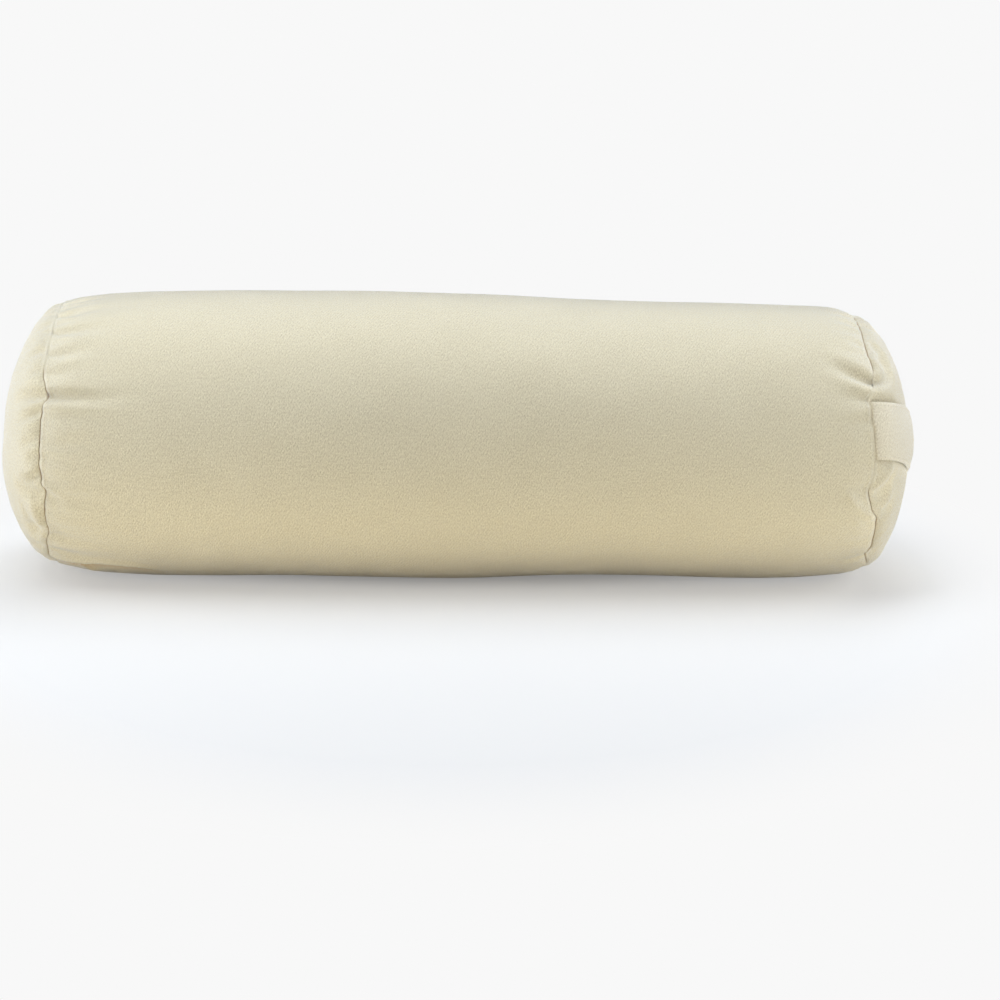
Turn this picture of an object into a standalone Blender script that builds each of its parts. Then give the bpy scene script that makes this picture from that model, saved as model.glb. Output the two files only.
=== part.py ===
# Round yoga bolster: a zipped twill cover with a domed panel at each end and a wide
# carry handle, over a sewn liner that holds a firm core wrapped in batting.
# Metres, +Z up. +X runs along the bolster to its handle end, and the floor is z = 0.

import math

import bmesh
import bpy
from mathutils import Matrix, Vector

# Cover tube, from end seam to end seam
TUBE_LENGTH = 0.655
CROWN_RADIUS_LEFT = 0.1183
CROWN_RADIUS_RIGHT = 0.1129
SEAM_RADIUS = 0.1055
SHOULDER_LENGTH_LEFT = 0.020
SHOULDER_LENGTH_RIGHT = 0.0125
FULLNESS_HEIGHT = 0.0013
FULLNESS_AT = -0.090
FULLNESS_SPREAD = 0.130
FLOOR_SAG = 0.0042

# Domed ends
DOME_DEPTH_LEFT = 0.0432
DOME_DEPTH_RIGHT = 0.0425
DOME_ROUNDNESS = 1.85
DOME_FLAT_BACK = 0.0052
DOME_LEAN_REACH = 0.068
LEAN_LEFT = math.radians(2.0)
LEAN_RIGHT = math.radians(1.0)

# Gathers that the drawn-in seams leave in the cloth: waves of so many, so strong, started here
GATHER_HEIGHT = 0.0013
GATHER_REACH = 0.020
GATHER_WAVES = ((9, 0.6, 0.7), (14, 0.5, 1.9))
HANDLE_HOLD = 0.0075
HANDLE_REACH = 0.025

# Cloth and filling
COVER_THICKNESS = 0.0010
LINER_THICKNESS = 0.0007
LAYER_GAP = 0.0004
SEAM_GAP = 0.0003
CORE_RADIUS = 0.078

# Handle of folded twill, both ends sewn into the right end seam
HANDLE_WIDTH = 0.050
HANDLE_THICKNESS = 0.0024
HANDLE_RISE = 0.0472
HANDLE_CUP = 0.0020
HANDLE_ANGLE = math.radians(165)
HANDLE_BEND = 0.0015
HANDLE_SEAT = 0.0003

# Zip in the lengthwise seam at the back
ZIP_ANGLE = math.radians(25)
ZIP_LENGTH = 0.480
TAPE_THICKNESS = 0.0007
TAPE_WIDTH = 0.0105
TAPE_TUCK = 0.012
TOOTH_PITCH = 0.004
TOOTH_ROOT = 0.0015
TOOTH_TIP = 0.0011
TOOTH_OVERLAP = 0.0010
TOOTH_HEIGHT = 0.0025
BEAD_INNER = 0.0016
BEAD_OUTER = 0.0029
STOP_LENGTH = 0.0026
SLIDER_LENGTH = 0.0105
SLIDER_PLATE = 0.0009
SLIDER_FLARE = 0.0013
SLIDER_NOSE = 0.0019
SLIDER_POST = 0.0013
BRIDGE_WIDTH = 0.0020
BRIDGE_SPAN = 0.0038
BRIDGE_BAR = 0.0009
PULL_LENGTH = 0.0235
PULL_WIDTH = 0.0066
PULL_THICKNESS = 0.0010
PULL_BAR = 0.0012
ZIP_CLEARANCE = 0.0003
CLOTH_CLEARANCE = 0.00045

# How finely the cloth is faceted
REST_SEGMENTS = 39
SHOULDER_ROWS = (0.0, 0.006, 0.014, 0.026, 0.046)
INNER_SHOULDER_ROWS = (0.0, 0.026)
TUBE_SPANS = 4
DOME_ROWS = 6
HANDLE_ROWS = 9
HANDLE_BEND_ROWS = 3
HANDLE_COLUMNS = 4
PULL_ROWS = 4
TEETH_PER_FACE = 8

TWILL = (0.66, 0.60, 0.46)
HANDLE_TWILL = (0.70, 0.64, 0.50)
MUSLIN = (0.80, 0.77, 0.68)
BATTING = (0.86, 0.83, 0.75)
CORE_FOAM = (0.78, 0.76, 0.70)
TAPE_CREAM = (0.72, 0.67, 0.54)
TOOTH_CREAM = (0.75, 0.71, 0.60)
BRASS = (0.62, 0.50, 0.28)

# Sizes that follow from the ones above
half_length = TUBE_LENGTH / 2
zip_half = ZIP_LENGTH / 2
mean_radius = (CROWN_RADIUS_LEFT + CROWN_RADIUS_RIGHT) / 2
liner_inset = COVER_THICKNESS + LAYER_GAP
batting_inset = liner_inset + LINER_THICKNESS + LAYER_GAP
tape_inset = COVER_THICKNESS + ZIP_CLEARANCE
chain_inset = tape_inset + TAPE_THICKNESS / 2
channel_half = TOOTH_HEIGHT / 2 + ZIP_CLEARANCE
slider_rear_half = BEAD_OUTER + ZIP_CLEARANCE + SLIDER_PLATE
slider_front_half = slider_rear_half + SLIDER_FLARE
slot_half = slider_front_half + CLOTH_CLEARANCE
slider_bottom = chain_inset + channel_half + SLIDER_PLATE
groove_depth = slider_bottom + CLOTH_CLEARANCE - liner_inset
tape_inner = BEAD_OUTER + ZIP_CLEARANCE
tape_outer = tape_inner + TAPE_WIDTH
tape_reach = zip_half + TAPE_TUCK
slot_angle = slot_half / mean_radius
tape_angle = tape_outer / mean_radius
groove_angle = (tape_outer + groove_depth * 2) / mean_radius
blend_angle = groove_angle * 3
handle_start = 2 * SEAM_GAP + HANDLE_THICKNESS / 2
handle_radius = SEAM_RADIUS + HANDLE_SEAT + HANDLE_THICKNESS / 2


def smooth_step(value):
    value = min(max(value, 0.0), 1.0)
    return value * value * (3 - 2 * value)


def angle_between(a, b):
    return abs(math.remainder(a - b, math.tau))


def crown_radius(x):
    share = (x + half_length) / TUBE_LENGTH
    return CROWN_RADIUS_LEFT + (CROWN_RADIUS_RIGHT - CROWN_RADIUS_LEFT) * share


def drawn_radius(x):
    """The tube's radius where both end seams draw it in."""
    left = (CROWN_RADIUS_LEFT - SEAM_RADIUS) * math.exp(-(x + half_length) / SHOULDER_LENGTH_LEFT)
    right = (CROWN_RADIUS_RIGHT - SEAM_RADIUS) * math.exp((x - half_length) / SHOULDER_LENGTH_RIGHT)
    return crown_radius(x) - left - right


def straight_radius(x):
    """The radius along the zip, which keeps its line straight."""
    if abs(x) >= zip_half:
        return drawn_radius(x)
    share = (x + zip_half) / ZIP_LENGTH
    return drawn_radius(-zip_half) * (1 - share) + drawn_radius(zip_half) * share


def tube_radius(x, angle):
    beside = (angle_between(angle, ZIP_ANGLE) - groove_angle) / blend_angle
    free = smooth_step(beside)
    fading = 1 - (x / half_length) ** 2
    full = FULLNESS_HEIGHT * fading * math.exp(-(((x - FULLNESS_AT) / FULLNESS_SPREAD) ** 2))
    return straight_radius(x) * (1 - free) + (drawn_radius(x) + full) * free


def axis_height(x):
    return crown_radius(x) - FLOOR_SAG


def gather(angle, side):
    """Height of the gathers round a seam, none where the handle holds the cloth down."""
    wave = sum(share * math.sin(count * angle + start * side) for count, share, start in GATHER_WAVES)
    height = GATHER_HEIGHT * max(wave, 0.0)
    if side > 0:
        away = min(angle_between(angle, HANDLE_ANGLE), angle_between(angle, HANDLE_ANGLE + math.pi))
        beside = away * SEAM_RADIUS - HANDLE_WIDTH / 2 - HANDLE_HOLD
        height *= smooth_step(beside / HANDLE_REACH)
    return height


def leaned(side, x, offset_z, share):
    lean = LEAN_LEFT if side < 0 else LEAN_RIGHT
    return x - side * offset_z * math.tan(lean) * share


def dome_lean_share(radius):
    """How far a dome follows its seam's lean: in full outside, not at all in its middle."""
    return min(1.0, (radius / DOME_LEAN_REACH) ** 2)


def tube_point(x, angle, inset, gathered=False, grooved=False):
    """A point of the tube, this far inside the cover's outer face."""
    side = 1 if x > 0 else -1
    radius = tube_radius(x, angle)
    if gathered:
        from_seam = half_length - abs(x)
        reach = math.exp(-from_seam / GATHER_REACH) * smooth_step(from_seam * 4 / GATHER_REACH)
        radius += gather(angle, side) * reach
    if grooved:
        inset += groove(x, angle)
    radius -= inset
    offset_z = radius * math.sin(angle)
    share = smooth_step((abs(x) - tape_reach) / (half_length - tape_reach))
    height = max(axis_height(x) + offset_z, inset)
    return Vector((leaned(side, x, offset_z, share), radius * math.cos(angle), height))


def groove(x, angle):
    """The hollow that the zip's slider presses into the liner and the batting."""
    away = angle_between(angle, ZIP_ANGLE)
    across = 1 - smooth_step((away - slot_angle) / (groove_angle - slot_angle))
    along = 1 - smooth_step((abs(x) - tape_reach) / (half_length - INNER_SHOULDER_ROWS[-1] - tape_reach))
    return groove_depth * across * along


def dome_point(side, turn, angle, inset, gathered=False):
    """A point of a domed end: turn is 0 at the seam and a right angle at its middle."""
    depth = DOME_DEPTH_LEFT if side < 0 else DOME_DEPTH_RIGHT
    rim = SEAM_RADIUS - inset
    radius = rim * math.cos(turn) ** (2 / DOME_ROUNDNESS)
    rise = (depth - inset) * math.sin(turn) ** (2 / DOME_ROUNDNESS)
    if side > 0:
        rise = min(rise, depth - inset - DOME_FLAT_BACK)
    if gathered:
        lift = gather(angle, side) * math.sin(3 * min(turn, math.pi / 3))
        radius += lift * math.cos(turn)
        rise += lift * math.sin(turn)
    offset_z = radius * math.sin(angle)
    x = side * (half_length + SEAM_GAP + rise)
    height = axis_height(side * half_length) + offset_z
    return Vector((leaned(side, x, offset_z, dome_lean_share(radius)), radius * math.cos(angle), height))


def ring_angles():
    """Angles of the cloth's lengthwise edges: the zip's own, then even ones round the rest."""
    zone = (slot_angle, tape_angle, groove_angle)
    below = [ZIP_ANGLE - angle for angle in reversed(zone)]
    above = [ZIP_ANGLE + angle for angle in zone]
    rest = math.tau - 2 * groove_angle
    even = [above[-1] + rest * k / REST_SEGMENTS for k in range(1, REST_SEGMENTS)]
    return below + above + even


def tube_stations(shoulder_rows):
    ends = [half_length - row for row in shoulder_rows] + [tape_reach]
    middle = [zip_half - ZIP_LENGTH * k / TUBE_SPANS for k in range(TUBE_SPANS + 1)]
    return ends + middle + [-x for x in reversed(ends)]


def make_material(name, color, roughness, metallic=0.0):
    material = bpy.data.materials.new(name)
    material.use_nodes = True
    shader = material.node_tree.nodes["Principled BSDF"]
    shader.inputs["Base Color"].default_value = (*color, 1)
    shader.inputs["Roughness"].default_value = roughness
    shader.inputs["Metallic"].default_value = metallic
    material.diffuse_color = (*color, 1)
    return material


def finish_object(name, bm, material, parent, sharp=35):
    """Makes the named object from its mesh, faces out and round parts smooth."""
    bmesh.ops.recalc_face_normals(bm, faces=bm.faces)
    mesh = bpy.data.meshes.new(name)
    bm.to_mesh(mesh)
    bm.free()
    mesh.shade_smooth()
    mesh.set_sharp_from_angle(angle=math.radians(sharp))
    mesh.materials.append(material)
    thing = bpy.data.objects.new(name, mesh)
    bpy.context.scene.collection.objects.link(thing)
    thing.parent = parent
    return thing


def add_ring(bm, points):
    return [bm.verts.new(point) for point in points]


def loft(bm, rings):
    """Skins ring to ring, split the same way on each layer so that their gap stays even."""
    for first, second in zip(rings, rings[1:]):
        if first[0].co.x < second[0].co.x:
            first, second = second, first
        for k in range(len(first)):
            bm.faces.new((first[k - 1], first[k], second[k]))
            bm.faces.new((first[k - 1], second[k], second[k - 1]))


def make_tube(outer, inner, outer_rows, inner_rows, gathered=False, grooved=False):
    """A sewn tube with a wall, its two faces bridged at both rims."""
    bm = bmesh.new()
    angles = ring_angles()
    outside = [
        add_ring(bm, [tube_point(x, a, outer, gathered, grooved) for a in angles])
        for x in tube_stations(outer_rows)
    ]
    inside = [
        add_ring(bm, [tube_point(x, a, inner, False, grooved) for a in angles])
        for x in tube_stations(inner_rows)
    ]
    loft(bm, outside + inside[::-1] + outside[:1])
    return bm


def cut_zip_slot(bm):
    """Opens the cover along its seam for the zip, with a hem edge all round the slot."""
    spare = (slot_half * 0.5) / mean_radius
    cut = []
    for face in bm.faces:
        middle = face.calc_center_median()
        angle = math.atan2(middle.z - axis_height(middle.x), middle.y)
        if abs(middle.x) < zip_half and angle_between(angle, ZIP_ANGLE) < spare:
            cut.append(face)
    bmesh.ops.delete(bm, geom=cut, context="FACES")
    hems = [edge for edge in bm.edges if len(edge.link_faces) == 1]
    bmesh.ops.bridge_loops(bm, edges=hems)


def dome_turns(rows):
    return [math.pi / 2 * (k / rows) for k in range(rows)]


def dome_skin(bm, side, inset, rows, gathered=False):
    """The rings of a dome from its seam to its middle, closed by a fan; returns the rim."""
    angles = ring_angles()
    rings = [
        add_ring(bm, [dome_point(side, turn, a, inset, gathered) for a in angles])
        for turn in dome_turns(rows)
    ]
    loft(bm, rings)
    fan = bmesh.ops.poke(bm, faces=[bm.faces.new(rings[-1])])
    fan["verts"][0].co = dome_point(side, math.pi / 2, 0.0, inset)
    return rings[0]


def make_end_panel(name, side, inset, thickness, rows, material, parent, gathered=False):
    bm = bmesh.new()
    outer = dome_skin(bm, side, inset, rows, gathered)
    inner = dome_skin(bm, side, inset + thickness, rows)
    loft(bm, [outer, inner])
    return finish_object(name, bm, material, parent)


def make_cover(parent, twill):
    bm = make_tube(0.0, COVER_THICKNESS, SHOULDER_ROWS, INNER_SHOULDER_ROWS, gathered=True)
    cut_zip_slot(bm)
    finish_object("cover_body", bm, twill, parent)
    make_end_panel("cover_end_left", -1, 0.0, COVER_THICKNESS, DOME_ROWS, twill, parent, gathered=True)
    right = make_end_panel("cover_end_right", 1, 0.0, COVER_THICKNESS, DOME_ROWS, twill, parent, gathered=True)
    cut_handle_passages(right, parent)


def cut_handle_passages(panel, parent):
    """Lets both ends of the handle through the seam into the cover."""
    depth = handle_start + HANDLE_THICKNESS / 2 + HANDLE_SEAT - SEAM_GAP
    for number, angle in enumerate((HANDLE_ANGLE, HANDLE_ANGLE + math.pi), 1):
        bm = bmesh.new()
        bmesh.ops.create_cube(bm, size=1)
        width = HANDLE_WIDTH + 2 * CLOTH_CLEARANCE
        bmesh.ops.scale(bm, vec=(depth * 2, SEAM_RADIUS * 0.2, width), verts=bm.verts)
        cutter = finish_object(f"handle_passage_{number}", bm, panel.data.materials[0], parent)
        cutter.rotation_euler = (angle, -LEAN_RIGHT, 0)
        side = Vector((0, math.cos(angle), math.sin(angle))) * SEAM_RADIUS
        cutter.location = Vector((half_length + SEAM_GAP, 0, axis_height(half_length))) + side
        cutter.location.x = leaned(1, cutter.location.x, side.z, 1)
        cutter.hide_render = True
        cutter.display_type = "WIRE"
        passage = panel.modifiers.new(f"Passage {number}", "BOOLEAN")
        passage.object = cutter
        passage.operation = "DIFFERENCE"


def handle_path():
    """Centre line of the handle from one seam to its middle, as (radius, rise, normal)."""
    half = HANDLE_THICKNESS / 2
    line = [(SEAM_RADIUS - COVER_THICKNESS, handle_start, (0.0, -1.0))]
    for step in range(HANDLE_BEND_ROWS + 1):
        turn = math.pi / 2 * step / HANDLE_BEND_ROWS
        radius = handle_radius - HANDLE_BEND * (1 - math.sin(turn))
        rise = handle_start + HANDLE_BEND * (1 - math.cos(turn))
        line.append((radius, rise, (math.sin(turn), -math.cos(turn))))
    foot = handle_start + HANDLE_BEND
    top = HANDLE_RISE - half - foot
    power = 2 / DOME_ROUNDNESS
    for step in range(1, HANDLE_ROWS + 1):
        turn = math.pi / 2 * step / HANDLE_ROWS
        radius = handle_radius * math.cos(turn) ** power
        rise = foot + top * math.sin(turn) ** power
        across = math.cos(turn) ** (2 - power) / handle_radius
        up = math.sin(turn) ** (2 - power) / top
        length = math.hypot(across, up)
        line.append((max(radius, 0.0), rise, (across / length, up / length)))
    return line


def handle_point(end, radius, rise, across):
    """A point of the handle, this far across from its centre line."""
    along = end * radius * math.sqrt(1 - (across / handle_radius) ** 2)
    cup = HANDLE_CUP * (across / (HANDLE_WIDTH / 2)) ** 2 * (1 - min(radius / handle_radius, 1.0) ** 2)
    ahead = Vector((0, math.cos(HANDLE_ANGLE), math.sin(HANDLE_ANGLE)))
    aside = Vector((0, -math.sin(HANDLE_ANGLE), math.cos(HANDLE_ANGLE)))
    place = ahead * along + aside * across
    x = leaned(1, half_length + rise - cup, place.z, dome_lean_share(place.length))
    return Vector((x, place.y, axis_height(half_length) + place.z))


def make_handle(parent, twill):
    widths = [HANDLE_WIDTH * (k / HANDLE_COLUMNS - 0.5) for k in range(HANDLE_COLUMNS + 1)]
    half = HANDLE_THICKNESS / 2
    line = handle_path()
    stations = [(1, *station) for station in line] + [(-1, *station) for station in reversed(line[:-1])]
    bm = bmesh.new()
    rings = []
    for end, radius, rise, normal in stations:
        outer = [handle_point(end, radius + half * normal[0], rise + half * normal[1], w) for w in widths]
        inner = [handle_point(end, radius - half * normal[0], rise - half * normal[1], w) for w in widths]
        rings.append(add_ring(bm, outer + inner[::-1]))
    loft(bm, rings)
    for ring in (rings[0], rings[-1]):
        for k in range(HANDLE_COLUMNS):
            bm.faces.new((ring[k], ring[k + 1], ring[-2 - k], ring[-1 - k]))
    finish_object("handle_strap", bm, twill, parent, sharp=50)


def make_liner(parent, muslin):
    inner = liner_inset + LINER_THICKNESS
    rows = INNER_SHOULDER_ROWS
    bm = make_tube(liner_inset, inner, rows, rows, grooved=True)
    finish_object("liner_body", bm, muslin, parent)
    for side, name in ((-1, "liner_end_left"), (1, "liner_end_right")):
        make_end_panel(name, side, liner_inset, LINER_THICKNESS, DOME_ROWS // 2, muslin, parent)


def core_ring(bm, side, radius):
    """The edge of a round end face that leans with the cover's seam."""
    x = side * half_length
    points = []
    for angle in ring_angles():
        offset_z = radius * math.sin(angle)
        points.append((leaned(side, x, offset_z, 1), radius * math.cos(angle), axis_height(x) + offset_z))
    return add_ring(bm, points)


def make_filling(parent, batting, foam):
    """The firm core, the batting rolled round it and a batting pad that fills each dome."""
    bm = bmesh.new()
    ends = [core_ring(bm, side, CORE_RADIUS) for side in (-1, 1)]
    loft(bm, ends)
    for ring in ends:
        bm.faces.new(ring)
    finish_object("fill_core", bm, foam, parent)

    bm = bmesh.new()
    outside = [
        add_ring(bm, [tube_point(x, a, batting_inset, grooved=True) for a in ring_angles()])
        for x in tube_stations(INNER_SHOULDER_ROWS)
    ]
    bore = [core_ring(bm, side, CORE_RADIUS + LAYER_GAP) for side in (-1, 1)]
    loft(bm, outside + bore + outside[:1])
    finish_object("batting_wrap", bm, batting, parent)

    for side, name in ((-1, "batting_pad_left"), (1, "batting_pad_right")):
        bm = bmesh.new()
        bm.faces.new(dome_skin(bm, side, batting_inset, DOME_ROWS // 2))
        finish_object(name, bm, batting, parent)


def slot_edge(x, side, inset):
    return tube_point(x, ZIP_ANGLE + side * slot_angle, inset)


def zip_frame():
    """The zip's own axes: along to the closed end, across downwards and out of the cover."""
    ends = [(slot_edge(x, 1, 0.0) + slot_edge(x, -1, 0.0)) / 2 for x in (-zip_half, zip_half)]
    along = (ends[1] - ends[0]).normalized()
    across = slot_edge(0.0, 1, 0.0) - slot_edge(0.0, -1, 0.0)
    out = across.cross(along).normalized()
    across = out.cross(along)
    frame = Matrix((along, across, out)).transposed().to_4x4()
    frame.translation = (ends[0] + ends[1]) / 2
    return frame


def make_tape(name, side, material, parent):
    """A woven tape sewn under the slot's hem, from the teeth to its own outer edge."""
    stations = (-tape_reach, -zip_half, zip_half, tape_reach)
    bm = bmesh.new()
    rings = []
    for x in stations:
        corners = []
        for inset in (tape_inset, tape_inset + TAPE_THICKNESS):
            middle = (slot_edge(x, 1, inset) + slot_edge(x, -1, inset)) / 2
            hem = slot_edge(x, side, inset)
            toothed = middle.lerp(hem, tape_inner / (hem - middle).length)
            corners.append([toothed, hem, tube_point(x, ZIP_ANGLE + side * tape_angle, inset)])
        rings.append(add_ring(bm, corners[0] + corners[1][::-1]))
    loft(bm, rings)
    bm.faces.new(rings[0])
    bm.faces.new(rings[-1])
    finish_object(name, bm, material, parent)


def extrude_outline(bm, corners, bottom, top):
    """A flat outline drawn along and across, pulled out into a solid."""
    face = bm.faces.new([bm.verts.new((x, y, bottom)) for x, y in corners])
    lifted = bmesh.ops.extrude_face_region(bm, geom=[face])["geom"]
    moved = [part for part in lifted if isinstance(part, bmesh.types.BMVert)]
    bmesh.ops.translate(bm, verts=moved, vec=(0, 0, top - bottom))


def make_teeth(name, side, first, last, material, parent):
    """One row of teeth moulded on the beaded edge of its tape, out of step with the other."""
    shift = TOOTH_PITCH * (0.25 if side > 0 else 0.75)
    count = int((last - first) / TOOTH_PITCH)
    bottom = -chain_inset - TOOTH_HEIGHT / 2
    bm = bmesh.new()

    def corner(x, y):
        return bm.verts.new((x, side * y, bottom))

    back = corner(first, BEAD_OUTER)
    front = corner(first, BEAD_INNER)
    sheet = []
    for start in range(0, count, TEETH_PER_FACE):
        stop = min(start + TEETH_PER_FACE, count)
        outline = [back, front]
        for k in range(start, stop):
            middle = first + TOOTH_PITCH * k + shift
            outline.append(corner(middle - TOOTH_ROOT / 2, BEAD_INNER))
            outline.append(corner(middle - TOOTH_TIP / 2, -TOOTH_OVERLAP))
            outline.append(corner(middle + TOOTH_TIP / 2, -TOOTH_OVERLAP))
            outline.append(corner(middle + TOOTH_ROOT / 2, BEAD_INNER))
        end = last if stop == count else first + TOOTH_PITCH * stop
        front = corner(end, BEAD_INNER)
        back = corner(end, BEAD_OUTER)
        sheet.append(bm.faces.new(outline + [front, back]))
    lifted = bmesh.ops.extrude_face_region(bm, geom=sheet)["geom"]
    moved = [part for part in lifted if isinstance(part, bmesh.types.BMVert)]
    bmesh.ops.translate(bm, verts=moved, vec=(0, 0, TOOTH_HEIGHT))
    finish_object(name, bm, material, parent, sharp=20)


def make_block(name, corners, bottom, top, material, parent, bevel=0.0):
    bm = bmesh.new()
    extrude_outline(bm, corners, bottom, top)
    block = finish_object(name, bm, material, parent, sharp=30)
    if bevel:
        edge = block.modifiers.new("Edges", "BEVEL")
        edge.width = bevel
        edge.segments = 1
        edge.limit_method = "ANGLE"
    return block


def cut_with(block, cutter):
    cutter.hide_render = True
    cutter.display_type = "WIRE"
    cut = block.modifiers.new(cutter.name, "BOOLEAN")
    cut.object = cutter
    cut.operation = "DIFFERENCE"


def mirrored(corners):
    return corners + [(x, -y) for x, y in reversed(corners)]


def make_slider(place, material, parent):
    """The cast slider: two plates joined by the post that parts the teeth, and a bridge."""
    half = SLIDER_LENGTH / 2
    high = -chain_inset + channel_half + SLIDER_PLATE
    outline = mirrored([
        (-half, slider_rear_half - SLIDER_NOSE / 2),
        (-half + SLIDER_NOSE / 2, slider_rear_half),
        (0.0, slider_rear_half),
        (half - SLIDER_NOSE, slider_front_half),
        (half, slider_front_half - SLIDER_NOSE),
    ])
    slider = make_block("zip_slider", outline, -slider_bottom, high, material, parent, SLIDER_PLATE / 4)
    slider.location.x = place

    inner = BEAD_OUTER + ZIP_CLEARANCE
    flared = inner + SLIDER_FLARE
    wall = [(-SLIDER_LENGTH, inner), (0.0, inner), (half - SLIDER_NOSE, flared), (SLIDER_LENGTH, flared)]
    post = [(SLIDER_LENGTH, SLIDER_POST), (half - SLIDER_NOSE / 2, SLIDER_POST / 2), (SLIDER_POST, 0.0)]
    channel = mirrored(wall + post)
    channel.remove(post[-1])
    floor, roof = -chain_inset - channel_half, -chain_inset + channel_half
    cut_with(slider, make_block("slider_channel", channel, floor, roof, material, slider))
    slit = TAPE_THICKNESS / 2 + ZIP_CLEARANCE
    for side, name in ((1, "slider_slit_upper"), (-1, "slider_slit_lower")):
        near, far = side * (inner - ZIP_CLEARANCE), side * slot_half * 1.5
        corners = [(-SLIDER_LENGTH, near), (SLIDER_LENGTH, near), (SLIDER_LENGTH, far), (-SLIDER_LENGTH, far)]
        slot = make_block(name, corners, -chain_inset - slit, -chain_inset + slit, material, slider)
        cut_with(slider, slot)

    window = PULL_THICKNESS + 2 * CLOTH_CLEARANCE + ZIP_CLEARANCE
    outer, inside = BRIDGE_SPAN / 2 + BRIDGE_BAR, BRIDGE_SPAN / 2
    foot = -SLIDER_PLATE / 2
    arch = [(-outer, foot), (-outer, window), (-inside, window + BRIDGE_BAR), (inside, window + BRIDGE_BAR)]
    arch += [(outer, window), (outer, foot), (inside, foot), (inside, window), (-inside, window), (-inside, foot)]
    bridge_piece = make_block("slider_bridge", arch, -BRIDGE_WIDTH / 2, BRIDGE_WIDTH / 2, material, slider)
    bridge_piece.rotation_euler = (math.pi / 2, 0, 0)
    bridge_piece.location.z = high
    bridge_piece.hide_render = True
    bridge_piece.display_type = "WIRE"
    joined = slider.modifiers.new("Bridge", "BOOLEAN")
    joined.object = bridge_piece
    joined.operation = "UNION"
    return slider, high + window / 2


def make_pull(height, material, slider):
    """The flat tab, whose slotted end turns on the slider's bridge."""
    half_width = PULL_WIDTH / 2
    bar = PULL_BAR / 2
    end = -PULL_LENGTH + half_width
    turns = [math.pi / 2 * k / PULL_ROWS for k in range(PULL_ROWS + 1)]
    corners = [(end - half_width * math.cos(t), half_width * math.sin(t)) for t in turns]
    outline = mirrored(corners + [(bar - bar / 2, half_width), (bar, half_width - bar / 2)])
    half = PULL_THICKNESS / 2
    pull = make_block("zip_pull", outline, -half, half, material, slider, PULL_THICKNESS / 5)
    pull.location.z = height
    reach = math.hypot(BRIDGE_SPAN / 2 + BRIDGE_BAR, height) + CLOTH_CLEARANCE + ZIP_CLEARANCE
    side = BRIDGE_WIDTH / 2 + CLOTH_CLEARANCE
    corners = [(-reach, -side), (-bar, -side), (-bar, side), (-reach, side)]
    cut_with(pull, make_block("pull_slot", corners, -half * 3, half * 3, material, pull))


def make_zip(parent, tape, tooth, metal):
    make_tape("zip_tape_upper", 1, tape, parent)
    make_tape("zip_tape_lower", -1, tape, parent)
    line = bpy.data.objects.new("zip_line", None)
    bpy.context.scene.collection.objects.link(line)
    line.parent = parent
    frame = zip_frame()
    line.location = frame.translation
    line.rotation_euler = frame.to_euler()

    stop_start = zip_half - ZIP_CLEARANCE - STOP_LENGTH
    closed = stop_start - ZIP_CLEARANCE - SLIDER_LENGTH / 2
    first = -zip_half + 2 * ZIP_CLEARANCE + STOP_LENGTH
    for side, which in ((-1, "upper"), (1, "lower")):
        make_teeth(f"zip_teeth_{which}", side, first, closed, tooth, line)
        near, far = side * (BEAD_OUTER + BEAD_INNER) / 3, side * BEAD_OUTER
        corners = [(0, near), (STOP_LENGTH, near), (STOP_LENGTH, far), (0, far)]
        height = TOOTH_HEIGHT / 2
        stop = make_block(f"zip_top_stop_{which}", corners, -height, height, metal, line, SLIDER_PLATE / 4)
        stop.location = (stop_start, 0, -chain_inset)
    corners = mirrored([(0, BEAD_OUTER), (STOP_LENGTH, BEAD_OUTER)])
    height = TOOTH_HEIGHT / 2
    stop = make_block("zip_bottom_stop", corners, -height, height, metal, line, SLIDER_PLATE / 4)
    stop.location = (-zip_half + ZIP_CLEARANCE, 0, -chain_inset)
    slider, pivot = make_slider(closed, metal, line)
    make_pull(pivot, metal, slider)


def build():
    for thing in list(bpy.data.objects):
        bpy.data.objects.remove(thing, do_unlink=True)
    twill = make_material("cotton_twill", TWILL, 0.92)
    handle_twill = make_material("handle_twill", HANDLE_TWILL, 0.92)
    muslin = make_material("liner_muslin", MUSLIN, 0.95)
    batting = make_material("batting", BATTING, 1.0)
    foam = make_material("core_foam", CORE_FOAM, 0.95)
    tape = make_material("zip_tape", TAPE_CREAM, 0.9)
    tooth = make_material("zip_teeth", TOOTH_CREAM, 0.4)
    metal = make_material("zip_metal", BRASS, 0.35, 1.0)

    root = bpy.data.objects.new("bolster", None)
    bpy.context.scene.collection.objects.link(root)
    right_end = half_length + HANDLE_RISE
    left_end = half_length + SEAM_GAP + DOME_DEPTH_LEFT
    root.location.x = (left_end - right_end) / 2

    make_cover(root, twill)
    make_handle(root, handle_twill)
    make_liner(root, muslin)
    make_filling(root, batting, foam)
    make_zip(root, tape, tooth, metal)


build()
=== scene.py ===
import math

import bpy
import numpy as np
from mathutils import Matrix, Vector


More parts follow.
